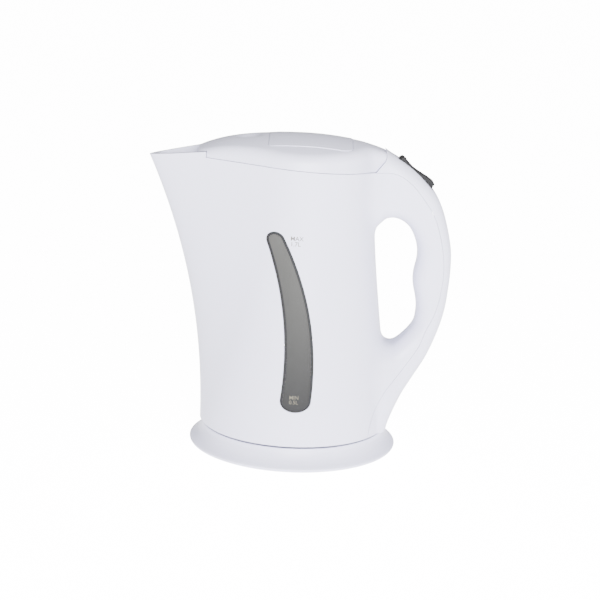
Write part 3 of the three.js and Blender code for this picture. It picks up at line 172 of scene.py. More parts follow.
def jug_distance(x, y, z):
    angle = np.abs(np.arctan2(y, -x))
    return np.hypot(x, y) / prow_stretch(angle, z) - body_radius(z)


def crown_height(x, y):
    """Height of the lid's crown, which falls away to the front, the back and the sides."""
    along = x + 2
    fall = np.where(along > 0, 0.0023 * along**2, 0.0011 * along**2 + 2.2e-7 * along**4)
    fall = fall + REAR_FALL * (np.maximum(0, x - REAR_FALL_X) / 20) ** 2
    return RIM_Z + LID_HEIGHT - fall - 0.0042 * y * y


REAR_RADIUS = 7.1               # the lid's rear end is round about the hinge,
REAR_ARC = math.radians(40)     # from this far below the horizontal
REAR_TOP = math.radians(24)     # to this far above it


def seam_height(x):
    share = (x - LID_FRONT_X) / (LID_BACK_X - LID_FRONT_X)
    return LID_SEAM_FRONT_Z - LID_SEAT_FALL * (0.75 * share + 0.25 * share * share)


def lid_space(lift):
    """Side view of the space above the jug's rim, drawn in by a distance."""
    slope = SPOUT_SHOULDER / (SPOUT_REACH + LID_FRONT_X)
    front = LID_FRONT_X + lift
    seam = [(x, float(seam_height(x)) + lift) for x in np.linspace(LID_FRONT_X, LID_BACK_X, 24)]
    seam[0] = (front, seam[0][1])
    radius = REAR_RADIUS - 0.6 * lift
    seam[-1] = (LID_BACK_X - 0.6 * lift, seam[-1][1])
    rear = [(HINGE_X + radius * math.cos(a), HINGE_Z + radius * math.sin(a))
            for a in np.linspace(-REAR_ARC, REAR_TOP, 24)]
    return [
        (-SPOUT_REACH - 20, RIM_Z - 20 * slope + lift),
        (front, RIM_Z + SPOUT_SHOULDER + lift),
        *seam,
        *rear,
        (rear[-1][0], RIM_Z + FAR),
        (-SPOUT_REACH - 20, RIM_Z + FAR),
    ]


# ------------------------------------------------------------------ the handle's surface
def handle_point(share):
    out, up = share
    return (JUG_TOP_RADIUS + out * (HANDLE_REACH - JUG_TOP_RADIUS), JUG_FOOT_Z + up * JUG_HEIGHT)


def smooth_line(points, samples):
    """A Catmull-Rom line through points, with a number of samples in each span."""
    p = np.asarray(points, float)
    p = np.vstack([2 * p[0] - p[1], p, 2 * p[-1] - p[-2]])
    t = np.linspace(0, 1, samples, endpoint=False)[:, None]
    spans = []
    for a, b, c, d in zip(p[:-3], p[1:-2], p[2:-1], p[3:]):
        spans.append(0.5 * (2 * b + (c - a) * t + (2 * a - 5 * b + 4 * c - d) * t**2
                            + (3 * b - a - 3 * c + d) * t**3))
    return np.vstack([*spans, p[-2:-1]])


OUTER_LINE = smooth_line([handle_point(s[0]) for s in HANDLE_STATIONS], 8)
INNER_LINE = smooth_line([handle_point(s[1]) for s in HANDLE_STATIONS], 8)
HALF_WIDTHS = smooth_line([(HANDLE_HALF_WIDTH * s[2],) for s in HANDLE_STATIONS], 8)[:, 0]
SEAM_LINE = smooth_line([(LID_BACK_X, LID_SEAM_BACK_Z)] + [handle_point(s) for s in COVER_SEAM], 8)


def outline_distance(points, loop):
    """Signed distance from 2-D points to a closed outline, negative inside."""
    result = np.empty(len(points))
    a = loop
    b = np.roll(loop, -1, axis=0)
    along = b - a
    length2 = np.maximum((along**2).sum(axis=1), 1e-12)
    for start in range(0, len(points), 20000):
        p = points[start:start + 20000]
        rel = p[:, None, :] - a[None]
        t = np.clip((rel * along).sum(axis=2) / length2, 0, 1)
        d2 = ((rel - t[..., None] * along) ** 2).sum(axis=2).min(axis=1)
        crosses = (a[None, :, 1] > p[:, None, 1]) != (b[None, :, 1] > p[:, None, 1])
        slope = along[:, 0] / np.where(np.abs(along[:, 1]) < 1e-12, 1e-12, along[:, 1])
        at = a[None, :, 0] + (p[:, None, 1] - a[None, :, 1]) * slope
        inside = (crosses & (p[:, None, 0] < at)).sum(axis=1) % 2 == 1
        result[start:start + 20000] = np.sqrt(d2) * np.where(inside, -1, 1)
    return result


class HandleField:
    """The handle's outline distance and half-width, kept on a fine grid in side view."""

    step = 0.5
    low = np.array([30.0, 0.0])
    count = (180, 470)

    def __init__(self):
        xs = self.low[0] + self.step * np.arange(self.count[0])
        zs = self.low[1] + self.step * np.arange(self.count[1])
        grid = np.stack(np.meshgrid(xs, zs, indexing="ij"), axis=-1).reshape(-1, 2)
        loop = np.vstack([OUTER_LINE, INNER_LINE[::-1]])
        self.flat = outline_distance(grid, loop).reshape(self.count)
        middle = (OUTER_LINE + INNER_LINE) / 2
        width = np.empty(len(grid))
        for start in range(0, len(grid), 20000):
            part = grid[start:start + 20000]
            d2 = ((part[:, None, :] - middle[None]) ** 2).sum(axis=2)
            weight = 1.0 / (d2 + 4.0) ** 2
            width[start:start + 20000] = (weight * HALF_WIDTHS).sum(axis=1) / weight.sum(axis=1)
        self.wide = width.reshape(self.count)

    def look_up(self, table, x, z):
        u = np.clip((x - self.low[0]) / self.step, 0, self.count[0] - 1.001)
        v = np.clip((z - self.low[1]) / self.step, 0, self.count[1] - 1.001)
        i = u.astype(int)
        j = v.astype(int)
        fu = u - i
        fv = v - j
        return ((table[i, j] * (1 - fu) + table[i + 1, j] * fu) * (1 - fv)
                + (table[i, j + 1] * (1 - fu) + table[i + 1, j + 1] * fu) * fv)

    def distance(self, x, y, z):
        flat = self.look_up(self.flat, x, z)
        half = self.look_up(self.wide, x, z)
        round_in, round_out, power = 10.0, 12.0, 2.2
        a = np.maximum(flat + round_in, 0) / round_in
        b = np.maximum(np.abs(y) - half + round_out, 0) / round_out
        corner = (a**power + b**power) ** (1 / power) - 1
        deep = np.maximum((flat + round_in) / round_in, (np.abs(y) - half + round_out) / round_out)
        inside = np.where(deep < 0, deep - 1, corner)
        away = np.where(x < self.low[0], self.low[0] - x, 0)
        return inside * round_in + away


def smooth_join(a, b, width):
    """The lesser of two distances, with a fillet where they meet."""
    h = np.maximum(width - np.abs(a - b), 0) / width
    return np.minimum(a, b) - h * h * width / 4


def smooth_meet(a, b, width):
    return -smooth_join(-a, -b, width)


# ------------------------------------------------------------------ meshing a field
def edge_ends(axis):
    """Slices of a grid's near and far points along one axis."""
    near = [slice(None)] * 3
    far = [slice(None)] * 3
    near[axis] = slice(0, -1)
    far[axis] = slice(1, None)
    return tuple(near), tuple(far)


def surface_net(field, low, high, step):
    """A closed quad mesh of the zero surface of a distance field, drawn onto it exactly."""
    axes = [np.arange(a, b + step, step) for a, b in zip(low, high)]
    grid = np.meshgrid(*axes, indexing="ij")
    values = field(*grid)
    inside = values < 0
    shape = np.array(values.shape)
    sums = np.zeros((*(shape - 1), 3))
    hits = np.zeros(shape - 1)
    for axis in range(3):
        near, far = edge_ends(axis)
        crossing = inside[near] != inside[far]
        index = np.argwhere(crossing)
        share = values[near][crossing] / (values[near][crossing] - values[far][crossing])
        point = index.astype(float)
        point[:, axis] += share
        others = [k for k in range(3) if k != axis]
        for du in (0, 1):
            for dv in (0, 1):
                cell = index.copy()
                cell[:, others[0]] -= du
                cell[:, others[1]] -= dv
                ok = ((cell >= 0) & (cell < shape - 1)).all(axis=1)
                where = tuple(cell[ok].T)
                np.add.at(sums, where, point[ok])
                np.add.at(hits, where, 1)
    used = hits > 0
    number = -np.ones(hits.shape, int)
    number[used] = np.arange(used.sum())
    verts = sums[used] / hits[used][:, None] * step + np.array([axis[0] for axis in axes])
    faces = []
    for axis in range(3):
        near, far = edge_ends(axis)
        start_inside = inside[near]
        crossing = start_inside != inside[far]
        index = np.argwhere(crossing)
        out = start_inside[crossing]
        others = [(axis + 1) % 3, (axis + 2) % 3]
        corners = []
        for du, dv in ((0, 0), (1, 0), (1, 1), (0, 1)):
            cell = index.copy()
            cell[:, others[0]] -= 1 - du
            cell[:, others[1]] -= 1 - dv
            corners.append(number[tuple(np.clip(cell, 0, shape - 2).T)])
        quads = np.stack(corners, axis=1)
        quads[~out] = quads[~out][:, ::-1]
        faces.append(quads)
    faces = np.vstack(faces)
    small = 0.02
    for _ in range(4):
        x, y, z = verts.T
        value = field(x, y, z)
        slope = np.stack([
            field(x + small, y, z) - field(x - small, y, z),
            field(x, y + small, z) - field(x, y - small, z),
            field(x, y, z + small) - field(x, y, z - small),
        ], axis=1) / (2 * small)
        size2 = np.maximum((slope**2).sum(axis=1), 0.05)
        move = -slope * (value / size2)[:, None]
        length = np.linalg.norm(move, axis=1, keepdims=True)
        verts = verts + move * np.minimum(1, 0.8 * step / np.maximum(length, 1e-9))
    return verts, faces


# ------------------------------------------------------------------ mesh helpers
def add_object(name, data):
    obj = bpy.data.objects.new(name, data)
    bpy.context.scene.collection.objects.link(obj)
    return obj


def new_mesh(name, verts, faces):
    """A mesh object from points in millimetres about the jug's axis."""
    points = np.asarray(verts, float).copy()
    points[:, 0] += AXIS_X
    mesh = bpy.data.meshes.new(name)
    mesh.from_pydata((points * MM).tolist(), [], [tuple(int(i) for i in f) for f in faces])
    mesh.validate()
    return add_object(name, mesh)


def turn_outward(obj):
    work = bmesh.new()
    work.from_mesh(obj.data)
    bmesh.ops.remove_doubles(work, verts=work.verts, dist=1e-6)
    bmesh.ops.recalc_face_normals(work, faces=work.faces)
    if work.calc_volume(signed=True) < 0:
        bmesh.ops.reverse_faces(work, faces=work.faces)
    work.to_mesh(obj.data)
    work.free()
    return obj


def bake_modifiers(obj):
    """Turns an object with its modifiers into a plain mesh."""
    bpy.context.view_layer.update()
    graph = bpy.context.evaluated_depsgraph_get()
    mesh = bpy.data.meshes.new_from_object(obj.evaluated_get(graph))
    obj.modifiers.clear()
    old = obj.data
    obj.data = mesh
    mesh.name = obj.name
    if old.users == 0:
        bpy.data.meshes.remove(old)
    return obj


def check_closed(obj):
    work = bmesh.new()
    work.from_mesh(obj.data)
    open_edges = sum(len(edge.link_faces) % 2 for edge in work.edges)
    work.free()
    if open_edges:
        raise RuntimeError(f"{obj.name} has {open_edges} open edges")


def carve(obj, *steps):
    """Cuts, joins or intersects closed meshes in turn, and removes the tools."""
    for closed in (obj, *(tool for _, tool in steps)):
        check_closed(closed)
    for i, (operation, tool) in enumerate(steps):
        modifier = obj.modifiers.new(f"step_{i}", "BOOLEAN")
        modifier.operation = operation
        modifier.solver = "MANIFOLD"
        modifier.object = tool
    bake_modifiers(obj)
    for tool in {tool for _, tool in steps}:
        bpy.data.objects.remove(tool)
    if not obj.data.polygons:
        raise RuntimeError(f"{obj.name} came out empty")
    return obj


def drop_crumbs(obj):
    """Keeps only the largest connected piece of a mesh."""
    work = bmesh.new()
    work.from_mesh(obj.data)
    bmesh.ops.remove_doubles(work, verts=work.verts, dist=2e-7)
    seen = set()
    groups = []
    for face in work.faces:
        if face in seen:
            continue
        stack, group = [face], []
        seen.add(face)
        while stack:
            current = stack.pop()
            group.append(current)
            for edge in current.edges:
                for other in edge.link_faces:
                    if other not in seen:
                        seen.add(other)
                        stack.append(other)
        groups.append(group)
    groups.sort(key=len, reverse=True)
    for group in groups[1:]:
        bmesh.ops.delete(work, geom=group, context="FACES")
    loose = [v for v in work.verts if not v.link_faces]
    bmesh.ops.delete(work, geom=loose, context="VERTS")
    work.to_mesh(obj.data)
    work.free()
    return obj


def prism(name, near, far):
    """A solid between two like rings of points."""
    n = len(near)
    faces = [tuple(range(n)), tuple(range(2 * n - 1, n - 1, -1))]
    faces += [(i, i + n, (i + 1) % n + n, (i + 1) % n) for i in range(n)]
    return turn_outward(new_mesh(name, near + far, faces))


def side_plate(name, outline, y0, y1):
    """A plate whose outline lies in the side view, from y0 to y1."""
    return prism(name, [(x, y0, z) for x, z in outline], [(x, y1, z) for x, z in outline])


def plan_plate(name, outline, z0, z1):
    """A plate whose outline lies in plan, from z0 to z1."""
    return prism(name, [(x, y, z0) for x, y in outline], [(x, y, z1) for x, y in outline])


def box(name, x0, x1, y0, y1, z0, z1):
    return side_plate(name, [(x0, z0), (x1, z0), (x1, z1), (x0, z1)], y0, y1)


def turned(name, profile, segments=96, bend=None, center=(0, 0)):
    """A solid of revolution about Z from (radius, height) points; bend maps the points after."""
    rings, verts, faces = [], [], []
    for radius, z in profile:
        if radius <= 1e-9:
            rings.append([len(verts)])
            verts.append((0, 0, z))
            continue
        rings.append(list(range(len(verts), len(verts) + segments)))
        for k in range(segments):
            angle = 2 * math.pi * k / segments
            verts.append((radius * math.cos(angle), radius * math.sin(angle), z))
    closed = len(rings[0]) > 1
    pairs = list(zip(rings, rings[1:])) + ([(rings[-1], rings[0])] if closed else [])
    for low, high in pairs:
        for k in range(segments):
            k2 = (k + 1) % segments
            corners = [low[k % len(low)], low[k2 % len(low)], high[k2 % len(high)], high[k % len(high)]]
            unique = list(dict.fromkeys(corners))
            if len(unique) > 2:
                faces.append(unique)
    points = np.array(verts, float)
    if bend is not None:
        points = bend(points)
    points[:, 0] += center[0]
    points[:, 1] += center[1]
    return turn_outward(new_mesh(name, points, faces))


def bent_to_jug(points):
    x, y, z = points.T
    stretch = prow_stretch(np.abs(np.arctan2(y, -x)), z)
    return np.stack([x * stretch, y * stretch, z], axis=1)


def jug_form(name, inset, bottom, top, rings=60, segments=180):
    side = [(float(body_radius(z)) - inset, z) for z in np.linspace(bottom, top, rings)]
    return turned(name, [(0, bottom), *side, (0, top)], segments, bent_to_jug)


def turn_and_place(obj, turn, spot):
    """Turns a mesh about the jug's axis and then moves it to a spot."""
    obj.data.transform(Matrix.Translation((-AXIS_X * MM, 0, 0)))
    obj.data.transform(turn)
    obj.data.transform(Matrix.Translation(((spot[0] + AXIS_X) * MM, spot[1] * MM, spot[2] * MM)))
    return obj


def rod(name, axis, radius, start, end, at, segments=32):
    """A round bar along the x or the y axis, at a place in the plane across it."""
    obj = turned(name, [(0, start), (radius, start), (radius, end), (0, end)], segments)
    if axis == "x":
        return turn_and_place(obj, Matrix.Rotation(math.pi / 2, 4, "Y"), (0, at[0], at[1]))
    return turn_and_place(obj, Matrix.Rotation(-math.pi / 2, 4, "X"), (at[0], 0, at[1]))


def soften(obj, width, segments=2, angle=35):
    modifier = obj.modifiers.new("soften", "BEVEL")
    modifier.width = width * MM
    modifier.segments = segments
    modifier.limit_method = "ANGLE"
    modifier.angle_limit = math.radians(angle)
    modifier.harden_normals = False
    return bake_modifiers(obj)


def finish_piece(obj, name, body, material, replaces=(), sharp=32):
    """Names a piece, shades it, gives it its material and hangs it on its body."""
    obj.name = name
    obj.data.name = name
    mesh = obj.data
    mesh.materials.clear()
    mesh.materials.append(material)
    mesh.polygons.foreach_set("material_index", np.zeros(len(mesh.polygons), np.int32))
    mesh.shade_smooth()
    mesh.set_sharp_from_angle(angle=math.radians(sharp))
    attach(obj, body)
    if replaces:
        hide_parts(*replaces)
    return obj


# ------------------------------------------------------------------ materials
def grain_group():
    """Fine moulded grain: a tinted colour, a roughness and a height from object coordinates."""
    group = bpy.data.node_groups.get("moulded_grain")
    if group:
        return group
    group = bpy.data.node_groups.new("moulded_grain", "ShaderNodeTree")
    side = group.interface
    for name, kind, default in (("Colour", "NodeSocketColor", (0.8, 0.8, 0.8, 1)),
                                ("Grain Scale", "NodeSocketFloat", 900.0),
                                ("Cloud Scale", "NodeSocketFloat", 14.0),
                                ("Tint Amount", "NodeSocketFloat", 0.02),
                                ("Roughness", "NodeSocketFloat", 0.35),
                                ("Roughness Spread", "NodeSocketFloat", 0.05)):
        socket = side.new_socket(name, in_out="INPUT", socket_type=kind)
        socket.default_value = default
    for name, kind in (("Colour", "NodeSocketColor"), ("Roughness", "NodeSocketFloat"),
                       ("Height", "NodeSocketFloat")):
        side.new_socket(name, in_out="OUTPUT", socket_type=kind)
    nodes, links = group.nodes, group.links
    entry = nodes.new("NodeGroupInput")
    leave = nodes.new("NodeGroupOutput")
    place = nodes.new("ShaderNodeTexCoord")
    grain = nodes.new("ShaderNodeTexNoise")
    grain.inputs["Detail"].default_value = 3.0
    cloud = nodes.new("ShaderNodeTexNoise")
    cloud.inputs["Detail"].default_value = 2.0
    links.new(place.outputs["Object"], grain.inputs["Vector"])
    links.new(place.outputs["Object"], cloud.inputs["Vector"])
    links.new(entry.outputs["Grain Scale"], grain.inputs["Scale"])
    links.new(entry.outputs["Cloud Scale"], cloud.inputs["Scale"])
    centred = nodes.new("ShaderNodeMath")
    centred.operation = "SUBTRACT"
    centred.inputs[1].default_value = 0.5
    links.new(cloud.outputs["Fac"], centred.inputs[0])
    tint = nodes.new("ShaderNodeMath")
    tint.operation = "MULTIPLY_ADD"
    tint.inputs[2].default_value = 1.0
    links.new(centred.outputs[0], tint.inputs[0])
    links.new(entry.outputs["Tint Amount"], tint.inputs[1])
    colour = nodes.new("ShaderNodeVectorMath")
    colour.operation = "SCALE"
    links.new(entry.outputs["Colour"], colour.inputs[0])
    links.new(tint.outputs[0], colour.inputs["Scale"])
    spread = nodes.new("ShaderNodeMath")
    spread.operation = "MULTIPLY_ADD"
    links.new(centred.outputs[0], spread.inputs[0])
    links.new(entry.outputs["Roughness Spread"], spread.inputs[1])
    links.new(entry.outputs["Roughness"], spread.inputs[2])
    links.new(colour.outputs[0], leave.inputs["Colour"])
    links.new(spread.outputs[0], leave.inputs["Roughness"])
    links.new(grain.outputs["Fac"], leave.inputs["Height"])
    return group


def add_relief(nodes, links, height, strength, distance):
    """Feeds a height to the surface's normal through a Bump node."""
    relief = nodes.new("ShaderNodeBump")
    relief.inputs["Strength"].default_value = strength
    relief.inputs["Distance"].default_value = distance
    links.new(height, relief.inputs["Height"])
    links.new(relief.outputs["Normal"], nodes["Principled BSDF"].inputs["Normal"])


def moulded(name, colour, roughness=0.35, grain=900.0, bump=0.02, tint=0.02, metallic=0.0,
            transmission=0.0, specular=0.5, coat=0.0, subsurface=0.0):
    """A solid material whose colour, roughness and fine relief come from the grain group."""
    found = bpy.data.materials.get(name)
    if found:
        return found
    material = bpy.data.materials.new(name)
    material.use_nodes = True
    nodes, links = material.node_tree.nodes, material.node_tree.links
    shader = nodes["Principled BSDF"]
    group = nodes.new("ShaderNodeGroup")
    group.node_tree = grain_group()
    group.inputs["Colour"].default_value = (*colour, 1)
    group.inputs["Grain Scale"].default_value = grain
    group.inputs["Tint Amount"].default_value = tint
    group.inputs["Roughness"].default_value = roughness
    links.new(group.outputs["Colour"], shader.inputs["Base Color"])
    links.new(group.outputs["Roughness"], shader.inputs["Roughness"])
    add_relief(nodes, links, group.outputs["Height"], bump, 0.0002)
    shader.inputs["Metallic"].default_value = metallic
    shader.inputs["Transmission Weight"].default_value = transmission
    shader.inputs["Specular IOR Level"].default_value = specular
    shader.inputs["Coat Weight"].default_value = coat
    if subsurface:
        shader.inputs["Subsurface Weight"].default_value = subsurface
        shader.inputs["Subsurface Radius"].default_value = (0.004, 0.004, 0.004)
        shader.inputs["Subsurface Scale"].default_value = 1.0
    return material


def brushed(name, colour, roughness, scale, stretch):
    """Metal with fine lines along one axis."""
    found = bpy.data.materials.get(name)
    if found:
        return found
    material = moulded(name, colour, roughness, metallic=1.0, bump=0.03, tint=0.04)
    nodes, links = material.node_tree.nodes, material.node_tree.links
    place = nodes.new("ShaderNodeTexCoord")
    mapping = nodes.new("ShaderNodeMapping")
    mapping.inputs["Scale"].default_value = stretch
    lines = nodes.new("ShaderNodeTexNoise")
    lines.inputs["Scale"].default_value = scale
    links.new(place.outputs["Object"], mapping.inputs["Vector"])
    links.new(mapping.outputs["Vector"], lines.inputs["Vector"])
    add_relief(nodes, links, lines.outputs["Fac"], 0.12, 0.0001)
    return material


def colours():
    return bpy.context.scene.kettle_colours


def white_gloss():
    return moulded("white_gloss_plastic", tuple(colours().body), roughness=0.33, grain=1400.0,
                   bump=0.012, tint=0.012, specular=0.45)


def white_matte():
    return moulded("white_inner_plastic", (0.70, 0.70, 0.72), roughness=0.5, grain=1100.0, bump=0.05)


def switch_grey():
    return moulded("switch_grey_plastic", tuple(colours().switch), roughness=0.5, grain=2200.0,
                   bump=0.02, tint=0.03, specular=0.12)


def dark_seal():
    return moulded("dark_seal_rubber", (0.028, 0.028, 0.03), roughness=0.6, grain=1800.0, bump=0.05,
                   specular=0.1)


def black_plastic():
    return moulded("black_glass_filled", (0.018, 0.018, 0.02), roughness=0.48, grain=1500.0, bump=0.08)


def steel():
    return brushed("stainless_steel", (0.56, 0.57, 0.58), 0.28, 700.0, (1, 12, 1))


def aluminium():
    return moulded("cast_aluminium", (0.55, 0.56, 0.57), roughness=0.5, grain=900.0, bump=0.15,
                   tint=0.06, metallic=1.0)


def brass():
    return moulded("bright_brass", (0.72, 0.53, 0.22), roughness=0.3, grain=600.0, bump=0.03,
                   tint=0.08, metallic=1.0)


def silicone():
    return moulded("grey_silicone", (0.42, 0.42, 0.43), roughness=0.65, grain=1200.0, bump=0.05)


def sleeve():
    """Woven glass-fibre sleeve, with fine slanting threads."""
    material = moulded("glass_fibre_sleeve", (0.55, 0.49, 0.38), roughness=0.75, grain=2500.0, bump=0.3)
    nodes, links = material.node_tree.nodes, material.node_tree.links
    place = nodes.new("ShaderNodeTexCoord")
    wave = nodes.new("ShaderNodeTexWave")
    wave.bands_direction = "DIAGONAL"
    wave.inputs["Scale"].default_value = 900.0
    wave.inputs["Distortion"].default_value = 1.5
    links.new(place.outputs["Object"], wave.inputs["Vector"])
    add_relief(nodes, links, wave.outputs["Fac"], 0.5, 0.0002)
    return material


def smoke_window():
    """Smoke-grey clear plastic with painted shade: darker at the foot and lighter towards the top,
    standing in for the jug's shaded inside seen through it.
    """
    name = "smoke_grey_window"
    found = bpy.data.materials.get(name)
    if found:
        return found
    material = moulded(name, (0.2, 0.2, 0.2), roughness=0.3, grain=500.0, bump=0.01,
                       specular=0.12)
    nodes, links = material.node_tree.nodes, material.node_tree.links
    place = nodes.new("ShaderNodeTexCoord")
    split = nodes.new("ShaderNodeSeparateXYZ")
    share = nodes.new("ShaderNodeMapRange")
    share.inputs["From Min"].default_value = WINDOW_BOTTOM_Z * MM
    share.inputs["From Max"].default_value = WINDOW_TOP_Z * MM
    # painted shade: the ramp runs from the darker foot grey up to the lighter top grey
    ramp = nodes.new("ShaderNodeValToRGB")
    low, high = tuple(colours().window_foot_shade), tuple(colours().window_top_shade)
    ramp.color_ramp.elements[0].color = (*low, 1)
    ramp.color_ramp.elements[1].color = (*high, 1)
    links.new(place.outputs["Object"], split.inputs[0])
    links.new(split.outputs["Z"], share.inputs["Value"])
    links.new(share.outputs["Result"], ramp.inputs["Fac"])
    links.new(ramp.outputs["Color"], nodes["Principled BSDF"].inputs["Base Color"])
    return material


# ------------------------------------------------------------------ properties
class KettleSizes(bpy.types.PropertyGroup):
    """Sizes of the surface that a user would change."""

    mesh_step: bpy.props.FloatProperty(
        name="Mesh step", description="Spacing of the jug's surface mesh, in millimetres",
        default=1.5, min=0.8, max=6.0)
    root_fillet: bpy.props.FloatProperty(
        name="Root fillet", description="Fillet where the handle grows out of the jug, in millimetres",
        default=13.0, min=1.0, max=18.0)
    seam: bpy.props.FloatProperty(
        name="Seam", description="Width of the seam round the handle cover, in millimetres",
        default=0.2, min=0.1, max=1.0)
    shoulder: bpy.props.FloatProperty(
        name="Lid shoulder", description="Rounding between the lid's side and its crown, in millimetres",
        default=3.2, min=1.0, max=12.0)


class KettleColours(bpy.types.PropertyGroup):
    """Colours of the visible plastics."""

    body: bpy.props.FloatVectorProperty(
        name="Body", description="White of the jug, lid, handle and base", subtype="COLOR",
        size=3, min=0, max=1, default=(0.78, 0.78, 0.96))
    switch: bpy.props.FloatVectorProperty(
        name="Switch", description="Grey of the rocker", subtype="COLOR",
        size=3, min=0, max=1, default=(0.016, 0.016, 0.0175))
    # painted shade: the window's foot and top greys stand in for the jug's shaded inside seen through
    # the pane
    window_foot_shade: bpy.props.FloatVectorProperty(
        name="Window foot", description="Grey at the foot of the water window", subtype="COLOR",
        size=3, min=0, max=1, default=(0.026, 0.026, 0.027))
    window_top_shade: bpy.props.FloatVectorProperty(
        name="Window top", description="Grey at the top of the water window", subtype="COLOR",
        size=3, min=0, max=1, default=(0.082, 0.082, 0.079))
    floor: bpy.props.FloatVectorProperty(
        name="Floor", description="Colour of the studio floor", subtype="COLOR",
        size=3, min=0, max=1, default=(0.95, 0.95, 0.95))


def sizes():
    return bpy.context.scene.kettle_sizes


# ------------------------------------------------------------------ jug and handle
FORM_FOOT_Z = 12.0              # the form runs past the foot and the rim, and is cut back there
FORM_TOP_Z = 224.0
FOOT_FILLET = 1.5               # the root fillet grows from this at the foot to its full size
FILLET_START_Z = 30.0
FILLET_RUN = 30.0

_shared = {}


def handle_field():
    if "handle" not in _shared:
        _shared["handle"] = HandleField()
    return _shared["handle"]


def body_field(x, y, z):
    """The jug and the handle as one form, with a fillet at the handle's roots."""
    share = np.clip((z - FILLET_START_Z) / FILLET_RUN, 0, 1)
    fillet = lerp(FOOT_FILLET, sizes().root_fillet, share)
    whole = smooth_join(jug_distance(x, y, z), handle_field().distance(x, y, z), fillet)
    return np.maximum(np.maximum(whole, z - FORM_TOP_Z), FORM_FOOT_Z - z)


def hollow_field(x, y, z):
    """The channel inside the handle, outside the jug, and shut at the head behind the lid."""
    inner = handle_field().distance(x, y, z) + HANDLE_WALL
    channel = np.maximum(inner, -jug_distance(x, y, z) + CLOSE_GAP)
    head = np.maximum(x - (HINGE_X + REAR_RADIUS + HANDLE_WALL), (LID_SEAM_BACK_Z - 10) - z)
    return np.maximum(np.maximum(channel, -head), 14.0 - z)


def whole_body(name):
    if "body" not in _shared:
        step = sizes().mesh_step * 1
        low, high = (-SPOUT_REACH - 12, -72, 8), (HANDLE_REACH + 4, 72, 228)
        _shared["body"] = surface_net(body_field, low, high, step)
    return new_mesh(name, *_shared["body"])


def handle_hollow(name):
    if "hollow" not in _shared:
        low, high = (40, -32, 10), (HANDLE_REACH + 2, 32, 222)
        _shared["hollow"] = surface_net(hollow_field, low, high, 2.0)
    return drop_crumbs(new_mesh(name, *_shared["hollow"]))


def behind_seam(name, shift):
    """Everything behind the cover's seam, moved back by a distance."""
    ahead = np.roll(SEAM_LINE, -1, axis=0)
    ahead[-1] = SEAM_LINE[-1]
    before = np.roll(SEAM_LINE, 1, axis=0)
    before[0] = SEAM_LINE[0]
    run = ahead - before
    run /= np.linalg.norm(run, axis=1, keepdims=True)
    moved = SEAM_LINE + shift * np.stack([-run[:, 1], run[:, 0]], axis=1)
    right, low, top = HANDLE_REACH + 60, -60.0, RIM_Z + 60
    line = [tuple(p) for p in moved]
    outline = [(line[0][0], top), *line, (line[-1][0], low), (right, low), (right, top)]
    return side_plate(name, outline, -FAR / 2, FAR / 2)


def window_outline(grow, points=20):
    """Two long arcs that bow towards the handle, with round ends."""
    height = WINDOW_TOP_Z - WINDOW_BOTTOM_Z

    def at(share, side):
        return np.array([side * WINDOW_WIDTH, WINDOW_BOTTOM_Z + share * height])

    def cubic(a, b, c, d):
        t = np.linspace(0, 1, points, endpoint=False)[:, None]
        return (1 - t)**3 * a + 3 * (1 - t)**2 * t * b + 3 * (1 - t) * t**2 * c + t**3 * d

    def arc(a, b, c):
        return cubic(a, a + (b - a) * 2 / 3, c + (b - c) * 2 / 3, c)

    line = np.vstack([
        cubic(at(0.06, -0.44), at(-0.02, -0.42), at(-0.02, 0.53), at(0.06, 0.565)),
        arc(at(0.06, 0.565), at(0.54, 0.83), at(0.965, -0.56)),
        cubic(at(0.965, -0.56), at(1.017, -0.73), at(0.996, -1.23), at(0.94, -1.1)),
        arc(at(0.94, -1.1), at(0.515, -0.09), at(0.06, -0.44)),
    ])
    run = np.roll(line, -1, axis=0) - np.roll(line, 1, axis=0)
    run /= np.linalg.norm(run, axis=1, keepdims=True)
    return line + (grow - WINDOW_INSET) * np.stack([run[:, 1], -run[:, 0]], axis=1)


def window_tool(name, grow, side):
    outline = [tuple(p) for p in window_outline(grow)]
    return side_plate(name, outline, *((-FAR / 2, 0) if side < 0 else (0, FAR / 2)))


def rocker_slot(name, room=0.9, side_room=GAP, depth=9.0):
    half = ROCKER_LENGTH / 2 + room
    wide = ROCKER_WIDTH / 2 + side_room
    return on_switch(box(name, -half, half, -wide, wide, -depth, depth))


def on_switch(obj):
    """Moves a piece from the rocker's own frame to its place on the handle."""
    x, z = handle_point(ROCKER_SHARE)
    return turn_and_place(obj, Matrix.Rotation(ROCKER_TILT, 4, "Y"), (x, 0, z))


def cavity(name, inset=0.0):
    return jug_form(name, WALL + inset, FLOOR_Z + 2.5, RIM_Z + 40)


